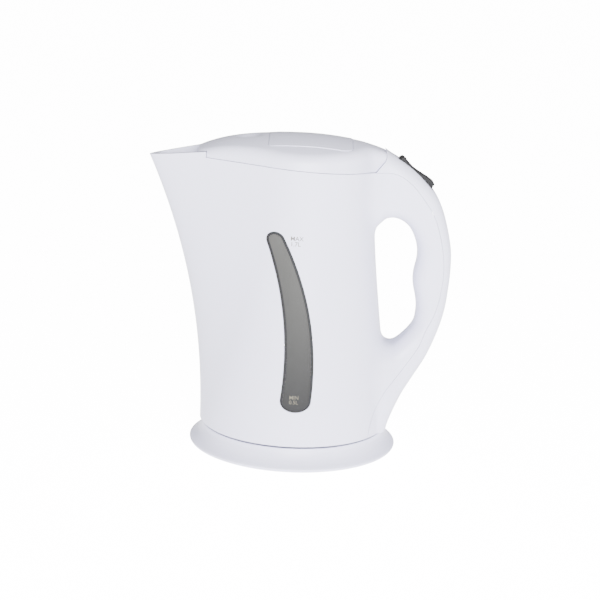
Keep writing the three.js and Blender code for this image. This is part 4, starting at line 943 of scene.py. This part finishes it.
class KETTLE_OT_jug(bpy.types.Operator):
    """Builds the jug moulding with its spout and the inner half of the handle"""

    bl_idname = "kettle.jug"
    bl_label = "Jug"

    def execute(self, context):
        seam = sizes().seam / 2
        jug = whole_body("jug_moulding")
        cut = behind_seam("seam_cut", -seam)
        carve(cut, ("DIFFERENCE", jug_form("recess_floor", SKIN + CLOSE_GAP, -70, RIM_Z + 70)))
        low, high = FLOOR_Z - 2, FLOOR_Z + 6
        throat = turned("throat", [(0, low), (THROAT_RADIUS, low), (THROAT_RADIUS, high), (0, high)],
                        120)
        vent = rod("steam_vent", "x", VENT_RADIUS, JUG_TOP_RADIUS - 8, JUG_TOP_RADIUS + 12,
                   (0, RIM_Z - VENT_FALL))
        steps = [
            ("DIFFERENCE", cut),
            ("DIFFERENCE", cavity("cavity")),
            ("DIFFERENCE", jug_form("under_floor", WALL, -10, FLOOR_Z)),
            ("DIFFERENCE", throat),
            ("DIFFERENCE", handle_hollow("channel")),
            ("DIFFERENCE", side_plate("above_rim", lid_space(0), -FAR / 2, FAR / 2)),
            ("DIFFERENCE", box("below_foot", -FAR, FAR, -FAR, FAR, -50, JUG_FOOT_Z)),
            ("DIFFERENCE", vent),
        ]
        for side in (-1, 1):
            steps.append(("DIFFERENCE", window_tool("window_hole", 2 * CLOSE_GAP + SEAL_WIDTH, side)))
        carve(jug, *steps)
        drop_crumbs(jug)
        extras = self.ears() + self.rails()
        for extra in extras:
            carve(jug, ("UNION", extra))
        finish_piece(jug, "jug_moulding", "jug", white_gloss(), ("jug_body",))
        return {"FINISHED"}

    def ears(self):
        """Two ears that hold the lid's pin."""
        made = []
        for side in (-1, 1):
            y0, y1 = sorted((side * EAR_INNER, side * EAR_OUTER))
            leg = box("ear", HINGE_X - 3, HINGE_X - 0.5, y0, y1, LID_SEAM_BACK_Z - 4, HINGE_Z)
            head = rod("ear_head", "y", EAR_RADIUS, y0, y1, (HINGE_X, HINGE_Z), 48)
            hole = rod("ear_hole", "y", PIN_HOLE_RADIUS, y0 - 1, y1 + 1, (HINGE_X, HINGE_Z))
            made.append(carve(leg, ("UNION", head), ("DIFFERENCE", hole)))
        return made

    def rails(self):
        """The rails that the spout filter slides down between."""
        made = []
        for start in (FILTER_X - 2.3, FILTER_X + 1.3):
            slab = box("rail", start, start + 1, -60, 60, RIM_Z - 42, RIM_Z - 2)
            made.append(carve(slab, ("INTERSECT", cavity("rail_outer", -0.5)),
                              ("DIFFERENCE", cavity("rail_inner", 2.4))))
        return made


class KETTLE_OT_handle_cover(bpy.types.Operator):
    """Builds the handle's outer cover, from the lid down over the tail to the foot"""

    bl_idname = "kettle.handle_cover"
    bl_label = "Handle cover"

    def execute(self, context):
        cover = whole_body("handle_cover_skin")
        pin = on_switch(rod("pin_hole", "y", PIVOT_HOLE_RADIUS, -9.5, 9.5, (0, -ROCKER_PIVOT_DEPTH)))
        carve(
            cover,
            ("INTERSECT", behind_seam("seam_keep", sizes().seam / 2)),
            ("DIFFERENCE", jug_form("tail_back", SKIN, -10, RIM_Z + 60)),
            ("DIFFERENCE", handle_hollow("channel")),
            ("DIFFERENCE", side_plate("lid_room", lid_space(0), -FAR / 2, FAR / 2)),
            ("DIFFERENCE", box("below_foot", -FAR, FAR, -FAR, FAR, -50, JUG_FOOT_Z)),
            ("DIFFERENCE", rocker_slot("slot")),
            ("DIFFERENCE", pin),
        )
        drop_crumbs(cover)
        finish_piece(cover, "handle_cover_skin", "jug", white_gloss(),
                     ("handle_cover",))
        return {"FINISHED"}


class KETTLE_OT_windows(bpy.types.Operator):
    """Builds the two smoke-grey water windows and their dark seals"""

    bl_idname = "kettle.windows"
    bl_label = "Water windows"

    def execute(self, context):
        for side, name in ((-1, "left"), (1, "right")):
            pane = self.wall("pane", 0.1, WALL - 0.1)
            carve(pane, ("INTERSECT", window_tool("pane_edge", -SEAL_LAP, side)))
            finish_piece(pane, f"water_pane_{name}", "jug", smoke_window(),
                         (f"water_window_{name}",))
            band = window_tool("band", CLOSE_GAP + SEAL_WIDTH + 0.15, side)
            carve(band, ("DIFFERENCE", window_tool("band_inner", 0.05 - SEAL_LAP, side)))
            seal = self.wall("seal", 0.32, WALL - 0.4)
            carve(seal, ("INTERSECT", band))
            finish_piece(seal, f"window_gasket_{name}", "jug", dark_seal(),
                         (f"window_seal_{name}",))
        return {"FINISHED"}

    def wall(self, name, outset, inset):
        low, high = WINDOW_BOTTOM_Z - 8, WINDOW_TOP_Z + 8
        shell = jug_form(name, outset, low, high)
        return carve(shell, ("DIFFERENCE", jug_form("inner", inset, low - 5, high + 5)))


PRINT_BOLD = 0.003              # the strokes grow by this share of the letters' size
PRINT_PROUD = 0.04              # the ink stands this far off the wall


def printed(name, text, size, x, z, inset):
    """Small print laid on the jug's left-hand side, with its lower left corner at x, z."""
    curve = bpy.data.curves.new(name, "FONT")
    curve.body = text
    curve.size = size
    curve.space_line = 0.9
    curve.offset = PRINT_BOLD * size
    obj = add_object(name, curve)
    bpy.context.view_layer.update()
    graph = bpy.context.evaluated_depsgraph_get()
    mesh = bpy.data.meshes.new_from_object(obj.evaluated_get(graph))
    bpy.data.objects.remove(obj)
    work = bmesh.new()
    work.from_mesh(mesh)
    bmesh.ops.triangulate(work, faces=work.faces)
    bmesh.ops.subdivide_edges(work, edges=work.edges, cuts=1)
    points = np.array([v.co[:] for v in work.verts])
    px, pz = x + points[:, 0], z + points[:, 1]
    py = -np.sqrt(np.maximum(body_radius(pz) ** 2 - px**2, 1))
    for _ in range(12):
        gap = jug_distance(px, py, pz) + inset - PRINT_PROUD
        py = py + gap * np.abs(py) / np.hypot(px, py) * 0.9
    for vert, place in zip(work.verts, np.stack([px + AXIS_X, py, pz], axis=1) * MM):
        vert.co = place
    bmesh.ops.recalc_face_normals(work, faces=work.faces)
    facing = sum(f.normal.y * f.calc_area() for f in work.faces)
    if facing > 0:
        bmesh.ops.reverse_faces(work, faces=work.faces)
    work.to_mesh(mesh)
    work.free()
    return add_object(name, mesh)


class KETTLE_OT_level_marks(bpy.types.Operator):
    """Prints the highest and lowest water marks beside the left-hand window"""

    bl_idname = "kettle.level_marks"
    bl_label = "Level marks"

    def execute(self, context):
        grey = moulded("mark_grey_ink", (0.10, 0.09, 0.075), roughness=0.6, bump=0.05)
        pale = moulded("mark_pale_ink", (0.12, 0.11, 0.078), roughness=0.6, bump=0.05)
        top = printed("level_mark_high", "MAX\n1.7L", 4.1, -6.6, 157.6, 0.0)
        finish_piece(top, "level_mark_high", "jug", grey)
        low = printed("level_mark_low", "MIN\n0.5L", 3.6, -3.0, 50.6, 0.1)
        finish_piece(low, "level_mark_low", "jug", pale)
        return {"FINISHED"}


# ------------------------------------------------------------------ lid
SCOOP_X = -40.0
SCOOP_DEPTH = 3.4
SCOOP_RADII = (17.0, 24.0, 20.0)
GRIP_FRONT_X = -24.0
GRIP_BACK_X = 33.0
GRIP_HALF = 33.0
GRIP_CORNER = 8.0
GRIP_FRONT_CORNER = 2.5
GRIP_THICKNESS = 1.5
GRIP_RAISE = 0.35


def lid_plan(x, y, inset, draft):
    """Distance to the lid's outline in plan: the jug's plan with a neck to the handle's head."""
    angle = np.abs(np.arctan2(y, -x))
    seam = seam_height(x)
    round_part = np.hypot(x, y) / prow_stretch(angle, seam) - (JUG_TOP_RADIUS - inset) + draft
    neck = np.maximum(np.abs(y) - (NECK_HALF - inset) + draft, 20 - x)
    return smooth_join(round_part, neck, 10.0)


def lid_field(x, y, z, inset=0.0):
    """Distance to the lid's form: drafted sides, a crown, and a rear end round about the hinge."""
    seam = seam_height(x)
    draft = LID_DRAFT * np.clip((z - seam) / 12, 0, 1.5)
    sides = lid_plan(x, y, inset, draft)
    crown = (z - crown_height(x, y) + inset) * 0.97
    body = smooth_meet(sides, crown, sizes().shoulder * 1.6)
    rear = np.hypot(np.maximum(0, x - HINGE_X), np.maximum(0, z - HINGE_Z)) - (REAR_RADIUS - inset)
    drop = np.maximum(0, HINGE_Z - z)
    arc_drop = np.minimum(drop, REAR_RADIUS * math.sin(REAR_ARC))
    rear = rear + np.minimum(0, x - HINGE_X) + REAR_RADIUS - np.sqrt(REAR_RADIUS**2 - arc_drop**2)
    rear = rear + (drop - arc_drop) * 0.82
    body = smooth_meet(body, rear * 0.85, 0.6)
    return np.maximum(np.maximum(body, (RIM_Z - 16) - z), (LID_FRONT_X - LIP - 6) - x)


def scoop_distance(x, y, z, grow, scale):
    """Rough distance to the egg-shaped finger scoop, grown all round, negative inside it."""
    middle = float(crown_height(SCOOP_X, 0)) - SCOOP_DEPTH + SCOOP_RADII[2]
    rx, ry, rz = (radius + grow for radius in SCOOP_RADII)
    reach = np.sqrt(((x - SCOOP_X) / rx)**2 + (y / ry)**2 + ((z - middle) / rz)**2)
    return (reach - 1) * scale


def lid_outer_field(x, y, z):
    """The lid's outside, with the finger scoop pressed into it."""
    return smooth_meet(lid_field(x, y, z), -scoop_distance(x, y, z, 0.0, 17.0), 1.6)


def lid_hollow_field(x, y, z):
    """The room inside the lid, a wall's thickness in from its outside and from the scoop."""
    scoop = scoop_distance(x, y, z, LID_WALL, 19.0)
    return smooth_meet(lid_field(x, y, z, LID_WALL), -scoop, 1.0)


def grip_outline(grow):
    """The grip panel's outline in plan, from corners given by centre, radius and first angle."""
    x0, x1, half = GRIP_FRONT_X - grow, GRIP_BACK_X + grow, GRIP_HALF + grow
    corner = GRIP_CORNER
    front = GRIP_FRONT_CORNER
    corners = (
        (x1 - corner, corner - half, corner, -90, 10), (x1 - corner, half - corner, corner, 0, 10),
        (x0 + front, half - front, front, 90, 6), (x0 + front, front - half, front, 180, 6),
    )
    outline = []
    for across, along, radius, start, points in corners:
        for angle in np.radians(np.linspace(start, start + 90, points)):
            outline.append((across + radius * math.cos(angle), along + radius * math.sin(angle)))
    return outline


def crown_slab(name, low, high, x_cells=90, y_cells=100):
    """A slab between two surfaces given by functions of x and y, over the grip's area."""
    xs = np.linspace(GRIP_FRONT_X - 6, GRIP_BACK_X + 6, x_cells)
    ys = np.linspace(-GRIP_HALF - 5, GRIP_HALF + 5, y_cells)
    gx, gy = np.meshgrid(xs, ys, indexing="ij")
    top = np.stack([gx, gy, high(gx, gy)], axis=-1).reshape(-1, 3)
    bottom = np.stack([gx, gy, low(gx, gy)], axis=-1).reshape(-1, 3)
    n = len(top)

    def at(i, j):
        return i * y_cells + j

    faces = []
    for i in range(x_cells - 1):
        for j in range(y_cells - 1):
            quad = [at(i, j), at(i + 1, j), at(i + 1, j + 1), at(i, j + 1)]
            faces.append(quad)
            faces.append([n + k for k in reversed(quad)])
    edge = ([at(i, 0) for i in range(x_cells)] + [at(x_cells - 1, j) for j in range(1, y_cells)]
            + [at(i, y_cells - 1) for i in range(x_cells - 2, -1, -1)]
            + [at(0, j) for j in range(y_cells - 2, 0, -1)])
    for a, b in zip(edge, edge[1:] + edge[:1]):
        faces.append([a, a + n, b + n, b])
    return turn_outward(new_mesh(name, np.vstack([top, bottom]), faces))


class KETTLE_OT_lid(bpy.types.Operator):
    """Builds the lid's shell, with its scoop, its grip recess and its hinge barrel"""

    bl_idname = "kettle.lid"
    bl_label = "Lid"

    def execute(self, context):
        step = 1.0
        low = (LID_FRONT_X - LIP - 12, -56, RIM_Z - 20)
        high = (HINGE_X + 11, 56, RIM_Z + LID_HEIGHT + 4)
        lid = new_mesh("lid_skin", *surface_net(lid_outer_field, low, high, step))
        hollow = drop_crumbs(new_mesh("lid_hollow", *surface_net(lid_hollow_field, low, high, 1.6)))
        carve(hollow, ("DIFFERENCE", box("front_wall", -FAR, LID_FRONT_X + 2, -FAR, FAR, 0, FAR)),
              ("UNION", self.neck_room()))
        recess = plan_plate("recess", grip_outline(CLOSE_GAP), RIM_Z, RIM_Z + 60)
        floor = crown_slab("recess_slab",
                           lambda x, y: crown_height(x, y) + GRIP_RAISE - GRIP_THICKNESS - CLOSE_GAP,
                           lambda x, y: crown_height(x, y) + 9)
        carve(recess, ("INTERSECT", floor))
        carve(
            lid,
            ("DIFFERENCE", recess),
            ("DIFFERENCE", hollow),
            ("INTERSECT", side_plate("above_seam", lid_space(GAP), -FAR / 2, FAR / 2)),
            ("INTERSECT", box("lip_front", LID_FRONT_X - LIP, FAR, -FAR, FAR, 0, FAR)),
            ("UNION", self.knuckle()),
            ("DIFFERENCE", rod("pin_hole", "y", PIN_HOLE_RADIUS, -10, 10, (HINGE_X, HINGE_Z))),
        )
        drop_crumbs(lid)
        finish_piece(lid, "lid_skin", "lid", white_gloss(), ("lid_shell",))
        return {"FINISHED"}

    def neck_room(self):
        """Room for the hinge ears in the lid's rear end, open downwards and to the back."""
        reach, low, ceiling = 3.6, LID_SEAM_BACK_Z - 20, HINGE_Z + 1
        barrel = [(HINGE_X + reach * math.sin(a), HINGE_Z + reach * math.cos(a))
                  for a in np.linspace(-1.25, math.pi / 2, 18)]
        line = [(HINGE_X - 24, low), (HINGE_X - 24, ceiling), (HINGE_X - 4, ceiling), *barrel,
                (HINGE_X + 12, HINGE_Z - 1), (HINGE_X + 12, low)]
        return side_plate("neck_room", line, 4 - NECK_HALF, NECK_HALF - 4)

    def knuckle(self):
        y0, y1 = -KNUCKLE_HALF, KNUCKLE_HALF
        barrel = rod("knuckle", "y", EAR_RADIUS, y0, y1, (HINGE_X, HINGE_Z), 48)
        web = box("web", HINGE_X - 3, HINGE_X + 1.5, y0, y1, HINGE_Z, HINGE_Z + 4.0)
        return carve(barrel, ("UNION", web))


class KETTLE_OT_lid_grip(bpy.types.Operator):
    """Builds the grip panel let into the lid, standing a little proud of the crown and drawn down
    towards its front edge
    """

    bl_idname = "kettle.lid_grip"
    bl_label = "Lid grip"

    def execute(self, context):
        def top(x, y):
            front = np.clip(1 - (x - GRIP_FRONT_X) / 7.0, 0, 1)
            return crown_height(x, y) + GRIP_RAISE * (1 - 0.8 * front**2 * (3 - 2 * front))

        def bottom(x, y):
            return crown_height(x, y) + GRIP_RAISE - GRIP_THICKNESS

        panel = crown_slab("grip_panel", bottom, top)
        carve(panel, ("INTERSECT", plan_plate("grip_edge", grip_outline(0), RIM_Z - 10, RIM_Z + 60)))
        soften(panel, 0.45, 3, 50)
        finish_piece(panel, "grip_panel", "lid", white_gloss(), ("lid_grip",))
        return {"FINISHED"}


class KETTLE_OT_switch(bpy.types.Operator):
    """Builds the grey rocker switch on the handle's head"""

    bl_idname = "kettle.switch"
    bl_label = "Rocker switch"

    def execute(self, context):
        half = ROCKER_LENGTH / 2
        front_end = [(-half + 0.7, 0.9), (-half + 1.6, 1.6), (-half + 3.9, 1.8), (-half + 5.4, 1.4)]
        dip = [(-7, 1.0), (-2.3, 0.85), (3.7, 1.8), (9, 2.8)]
        back_end = [(half - 3, 3.1), (half - 1.6, 3.1), (half - 0.8, 2.6)]
        top = smooth_line(front_end + dip + back_end, 5)
        keel = [(half - 0.2, -1.6), (half - 5.4, -3.6), (5, -6.4), (-5, -6.4), (-half + 5.4, -3.6)]
        outline = [(-half, -1.6), *[tuple(p) for p in top], *keel]
        rocker = side_plate("rocker_cap", outline, -ROCKER_WIDTH / 2, ROCKER_WIDTH / 2)
        soften(rocker, 0.7, 3, 40)
        hole = rod("pin_hole", "y", PIVOT_HOLE_RADIUS, -20, 20, (0, -ROCKER_PIVOT_DEPTH))
        carve(rocker, ("DIFFERENCE", hole))
        on_switch(rocker)
        finish_piece(rocker, "rocker_cap", "switch", switch_grey(), ("switch_rocker",))
        return {"FINISHED"}


# ------------------------------------------------------------------ power base
BASE_SHARES = (                 # shares of the flare outwards and of the drop downwards
    (0, 0), (0.1, 0.22), (0.34, 0.47), (0.64, 0.65), (0.9, 0.76), (1, 0.83), (0.93, 0.93), (0.72, 1),
)
BASE_WALL = 2.2
GROOVE_ROOF_Z = 10.8            # the underside of the groove's floor
GROOVE_WALL = 1.8
GROOVE_INNER = 18.0             # the groove's sides, measured in from the base's top edge
GROOVE_OUTER = 1.5
TOWER_HOLE = 13.2
INLET_HALF = 5.0
INLET_TOP_Z = 10.9


def base_side(inset, samples=10):
    drop = BASE_HEIGHT - FOOT_SHOW
    flare = BASE_RADIUS - BASE_TOP_RADIUS
    points = [(BASE_TOP_RADIUS + out * flare - inset, BASE_HEIGHT - down * drop)
              for out, down in BASE_SHARES]
    return [tuple(p) for p in smooth_line(points, samples)]


class KETTLE_OT_base(bpy.types.Operator):
    """Builds the power base's upper shell"""

    bl_idname = "kettle.base"
    bl_label = "Power base"

    def execute(self, context):
        outside = base_side(0)
        roof = PLATEAU_Z - BASE_WALL
        groove = GROOVE_ROOF_Z + GROOVE_WALL
        inside = [p for p in base_side(BASE_WALL) if 3.9 < p[1] < GROOVE_ROOF_Z][::-1]
        edge = outside[-1]
        inner = BASE_TOP_RADIUS - GROOVE_INNER
        outer = BASE_TOP_RADIUS - GROOVE_OUTER
        behind = inner - 2.4
        rim = [(inner - 0.6, PLATEAU_Z), (inner - 0.3, PLATEAU_Z - 0.1), (inner, groove),
               (outer, groove), (outer + 0.3, BASE_HEIGHT - 0.3), (outer + 0.6, BASE_HEIGHT - 0.05)]
        profile = [(TOWER_HOLE, roof), (TOWER_HOLE, PLATEAU_Z - 0.3), (TOWER_HOLE + 0.3, PLATEAU_Z),
                   *rim, (BASE_TOP_RADIUS - 0.1, BASE_HEIGHT - 0.15), *outside[3:],
                   (edge[0] - 1.2, edge[1]), *inside, (behind, GROOVE_ROOF_Z), (behind, roof)]
        shell = turned("base_skin", profile, 200)
        inlet = box("inlet", -INLET_HALF, INLET_HALF, BASE_TOP_RADIUS - 10, BASE_RADIUS + 10,
                    -10, INLET_TOP_Z)
        carve(shell, ("DIFFERENCE", inlet))
        finish_piece(shell, "base_skin", "power_base", white_gloss(),
                     ("base_upper_shell",))
        return {"FINISHED"}


# ------------------------------------------------------------------ Geometry Nodes
def node_tree(name, inputs):
    """A geometry tree with an input geometry, named inputs and an output."""
    tree = bpy.data.node_groups.new(name, "GeometryNodeTree")
    tree.interface.new_socket("Geometry", in_out="INPUT", socket_type="NodeSocketGeometry")
    for label, kind, default in inputs:
        socket = tree.interface.new_socket(label, in_out="INPUT", socket_type=kind)
        socket.default_value = default
    tree.interface.new_socket("Geometry", in_out="OUTPUT", socket_type="NodeSocketGeometry")
    return tree, tree.nodes.new("NodeGroupInput"), tree.nodes.new("NodeGroupOutput")


def run_tree(obj, tree, values):
    modifier = obj.modifiers.new("nodes", "NODES")
    modifier.node_group = tree
    for item in tree.interface.items_tree:
        if item.in_out == "INPUT" and item.name in values:
            modifier[item.identifier] = values[item.name]
    return bake_modifiers(obj)


def filter_weave_tree(material):
    """Crossed wires over a rectangle: two stacks of straight wires, each a swept circle."""
    tree, entry, leave = node_tree("filter_weave", (
        ("Width", "NodeSocketFloat", 0.04), ("Height", "NodeSocketFloat", 0.034),
        ("Pitch", "NodeSocketFloat", 0.0012), ("Wire", "NodeSocketFloat", 0.00014)))
    nodes, links = tree.nodes, tree.links
    join = nodes.new("GeometryNodeJoinGeometry")
    ring = nodes.new("GeometryNodeCurvePrimitiveCircle")
    ring.inputs["Resolution"].default_value = 5
    links.new(entry.outputs["Wire"], ring.inputs["Radius"])
    upright, level = (0, 0, 1), (0, 1, 0)

    def ends_of(length, direction):
        """The two ends of a stretch about the middle, as vectors along a direction."""
        ends = []
        for half in (-0.5, 0.5):
            scaled = nodes.new("ShaderNodeVectorMath")
            scaled.operation = "SCALE"
            scaled.inputs[0].default_value = [half * value for value in direction]
            links.new(entry.outputs[length], scaled.inputs["Scale"])
            ends.append(scaled)
        return ends

    for along, across, direction, other in (("Height", "Width", upright, level),
                                            ("Width", "Height", level, upright)):
        ends = ends_of(along, direction)
        spots = ends_of(across, other)
        wire = nodes.new("GeometryNodeCurvePrimitiveLine")
        links.new(ends[0].outputs[0], wire.inputs["Start"])
        links.new(ends[1].outputs[0], wire.inputs["End"])
        swept = nodes.new("GeometryNodeCurveToMesh")
        swept.inputs["Fill Caps"].default_value = True
        links.new(wire.outputs[0], swept.inputs["Curve"])
        links.new(ring.outputs[0], swept.inputs["Profile Curve"])
        count = nodes.new("ShaderNodeMath")
        count.operation = "DIVIDE"
        links.new(entry.outputs[across], count.inputs[0])
        links.new(entry.outputs["Pitch"], count.inputs[1])
        row = nodes.new("GeometryNodeMeshLine")
        row.mode = "END_POINTS"
        links.new(count.outputs[0], row.inputs["Count"])
        links.new(spots[0].outputs[0], row.inputs["Start Location"])
        links.new(spots[1].outputs[0], row.inputs["Offset"])
        stack = nodes.new("GeometryNodeInstanceOnPoints")
        links.new(row.outputs[0], stack.inputs["Points"])
        links.new(swept.outputs[0], stack.inputs["Instance"])
        links.new(stack.outputs[0], join.inputs[0])
    real = nodes.new("GeometryNodeRealizeInstances")
    paint = nodes.new("GeometryNodeSetMaterial")
    paint.inputs["Material"].default_value = material
    links.new(join.outputs[0], real.inputs[0])
    links.new(real.outputs[0], paint.inputs[0])
    links.new(paint.outputs[0], leave.inputs[0])
    return tree


class KETTLE_OT_filter(bpy.types.Operator):
    """Builds the woven wire screen of the spout filter"""

    bl_idname = "kettle.filter"
    bl_label = "Spout filter"

    def execute(self, context):
        low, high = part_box("spout_filter_mesh")
        seed = new_mesh("filter_screen", [(0, 0, 0), (1, 0, 0), (0, 1, 0)], [(0, 1, 2)])
        size = Vector(high) - Vector(low)
        run_tree(seed, filter_weave_tree(steel()), {"Width": size.y, "Height": size.z})
        middle = (Vector(low) + Vector(high)) / 2
        seed.data.transform(Matrix.Translation(middle))
        self.trim(seed)
        finish_piece(seed, "filter_screen", "jug", steel(), ("spout_filter_mesh",))
        return {"FINISHED"}

    def trim(self, obj):
        """Draws the wires' ends in to the filter frame's opening."""
        mesh = obj.data
        count = len(mesh.vertices)
        points = np.empty(count * 3)
        mesh.vertices.foreach_get("co", points)
        points = points.reshape(-1, 3)
        z = points[:, 2] / MM
        half = np.array([self.half_width(value) for value in z]) * MM
        points[:, 1] = np.clip(points[:, 1], -half, half)
        mesh.vertices.foreach_set("co", points.ravel())
        mesh.update()

    def half_width(self, z):
        ys = np.linspace(4, 30, 60)
        inside = jug_distance(np.full(60, FILTER_X), ys, np.full(60, z)) < -(WALL + 3.6)
        return float(ys[inside][-1]) if inside.any() else 4.0


# ------------------------------------------------------------------ carried nodes
def numbered(name, count):
    return [f"{name}_{i}" for i in range(1, count + 1)]


def coat_nodes(names, material):
    for name in names:
        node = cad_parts.get(name)
        if node is None:
            raise RuntimeError(f"no node named {name}")
        node.data.materials.clear()
        node.data.materials.append(material)


class KETTLE_OT_inner_parts(bpy.types.Operator):
    """Gives the inner parts that stay as they are their materials"""

    bl_idname = "kettle.inner_parts"
    bl_label = "Inner parts"

    def execute(self, context):
        feet = numbered("base_foot", 3)
        screws = (numbered("base_screw", 3) + numbered("bottom_cover_screw", 3)
                  + numbered("control_screw", 2) + numbered("handle_screw", 2))
        coat_nodes(["base_lower_plate", "bottom_cover", "lid_liner", "spout_filter_frame"],
                   white_matte())
        coat_nodes([*feet, "cord_inlet_bush"], dark_seal())
        coat_nodes([*screws, "element_plate", "lid_hinge_pin", "switch_pivot_pin"], steel())
        coat_nodes(["base_connector_hub", "thermal_control", "steam_switch_body"], black_plastic())
        coat_nodes(["base_earth_pin", "base_live_ring", "base_neutral_ring", "control_blade_live",
                    "control_blade_neutral", "steam_bimetal_disc"], brass())
        coat_nodes(["heat_spreader", "heating_element"], aluminium())
        coat_nodes(["element_seal_ring"], silicone())
        coat_nodes(["switch_lead_live", "switch_lead_neutral"], sleeve())
        return {"FINISHED"}


# ------------------------------------------------------------------ stage
CAMERA_AWAY = 1050.0
CAMERA_HEIGHT = 352.0
CAMERA_LOOK = (1.6, 0.0, 105.0)
CAMERA_ROLL = 2.5
CAMERA_SPAN = 426.0             # the width in view at the look point
KEY_POWER = 104
FILL_RIGHT_POWER = 10
FILL_LEFT_POWER = 4
AIR_STRENGTH = 0.55
FLOOR_GLOW = 2.2                # the floor is a light table, lit a little from beneath,
FLOOR_SHINE = 12.0              # and it looks this much brighter to the camera


def area_light(name, place, look, size, power):
    data = bpy.data.lights.new(name, "AREA")
    data.shape = "RECTANGLE"
    data.size, data.size_y = size
    data.energy = power
    obj = add_object(name, data)
    obj.location = place
    obj.rotation_mode = "QUATERNION"
    obj.rotation_quaternion = (Vector(look) - Vector(place)).to_track_quat("-Z", "Y")
    return obj


class KETTLE_OT_stage(bpy.types.Operator):
    """Builds the pale floor, the soft lights and the camera"""

    bl_idname = "kettle.stage"
    bl_label = "Stage"

    def execute(self, context):
        self.floor()
        self.lights()
        self.camera()
        return {"FINISHED"}

    def floor(self):
        half = 30.0 / MM
        floor = new_mesh("studio_floor", [(-half, -half, 0), (half, -half, 0), (half, half, 0),
                                          (-half, half, 0)], [(0, 1, 2, 3)])
        paint = moulded("studio_floor_paint", tuple(colours().floor), roughness=0.8,
                        grain=300.0, bump=0.0, tint=0.004, specular=0.1)
        shader = paint.node_tree.nodes["Principled BSDF"]
        shader.inputs["Emission Color"].default_value = (1, 1, 1, 1)
        nodes, links = paint.node_tree.nodes, paint.node_tree.links
        path = nodes.new("ShaderNodeLightPath")
        seen = nodes.new("ShaderNodeMath")
        seen.operation = "MULTIPLY_ADD"
        seen.inputs[1].default_value = FLOOR_SHINE
        seen.inputs[2].default_value = FLOOR_GLOW
        links.new(path.outputs["Is Camera Ray"], seen.inputs[0])
        links.new(seen.outputs[0], shader.inputs["Emission Strength"])
        floor.data.materials.append(paint)

    def lights(self):
        centre = (0, 0, 0.11)
        area_light("key_front", (0.25, -1.9, 0.8), centre, (1.2, 0.9), KEY_POWER)
        area_light("fill_right", (1.7, -0.8, 0.6), centre, (0.8, 1.0), FILL_RIGHT_POWER)
        area_light("fill_left", (-1.9, -0.4, 0.6), centre, (0.8, 1.0), FILL_LEFT_POWER)
        world = bpy.data.worlds.new("studio_air")
        bpy.context.scene.world = world
        world.use_nodes = True
        sky = world.node_tree.nodes["Background"]
        sky.inputs["Color"].default_value = (1, 1, 1, 1)
        sky.inputs["Strength"].default_value = AIR_STRENGTH

    def camera(self):
        eye = Vector((AXIS_X, -CAMERA_AWAY, CAMERA_HEIGHT))
        look = Vector(CAMERA_LOOK) + Vector((AXIS_X, 0, 0))
        forward = look - eye
        away = forward.length
        forward.normalize()
        right = forward.cross(Vector((0, 0, 1))).normalized()
        up = right.cross(forward)
        roll = math.radians(CAMERA_ROLL)
        right2 = right * math.cos(roll) + up * math.sin(roll)
        up2 = up * math.cos(roll) - right * math.sin(roll)
        data = bpy.data.cameras.new("camera")
        data.sensor_width = 36.0
        data.lens = data.sensor_width * away / CAMERA_SPAN
        data.clip_end = 50
        camera = add_object("camera", data)
        turn = Matrix((right2, up2, -forward)).transposed().to_4x4()
        camera.matrix_world = Matrix.Translation(eye * MM) @ turn
        bpy.context.scene.camera = camera


# ------------------------------------------------------------------ panel and registration
OPERATORS = (
    KETTLE_OT_stage, KETTLE_OT_jug, KETTLE_OT_handle_cover, KETTLE_OT_windows, KETTLE_OT_level_marks,
    KETTLE_OT_lid, KETTLE_OT_lid_grip, KETTLE_OT_switch, KETTLE_OT_base, KETTLE_OT_filter,
    KETTLE_OT_inner_parts,
)


class KETTLE_PT_panel(bpy.types.Panel):
    """Lists the pieces of the kettle and its sizes"""

    bl_label = "Kettle"
    bl_idname = "KETTLE_PT_panel"
    bl_space_type = "VIEW_3D"
    bl_region_type = "UI"
    bl_category = "Kettle"

    def draw(self, context):
        for operator in OPERATORS:
            self.layout.operator(operator.bl_idname)
        for group in (context.scene.kettle_sizes, context.scene.kettle_colours):
            for name in group.bl_rna.properties.keys():
                if name not in ("rna_type", "name"):
                    self.layout.prop(group, name)


CLASSES = (KettleSizes, KettleColours, *OPERATORS, KETTLE_PT_panel)


def register():
    for cls in CLASSES:
        bpy.utils.register_class(cls)
    bpy.types.Scene.kettle_sizes = bpy.props.PointerProperty(type=KettleSizes)
    bpy.types.Scene.kettle_colours = bpy.props.PointerProperty(type=KettleColours)


def unregister():
    del bpy.types.Scene.kettle_colours
    del bpy.types.Scene.kettle_sizes
    for cls in reversed(CLASSES):
        bpy.utils.unregister_class(cls)


def main():
    register()
    for operator in OPERATORS:
        group, name = operator.bl_idname.split(".")
        getattr(getattr(bpy.ops, group), name)()


if __name__ == "__main__":
    main()
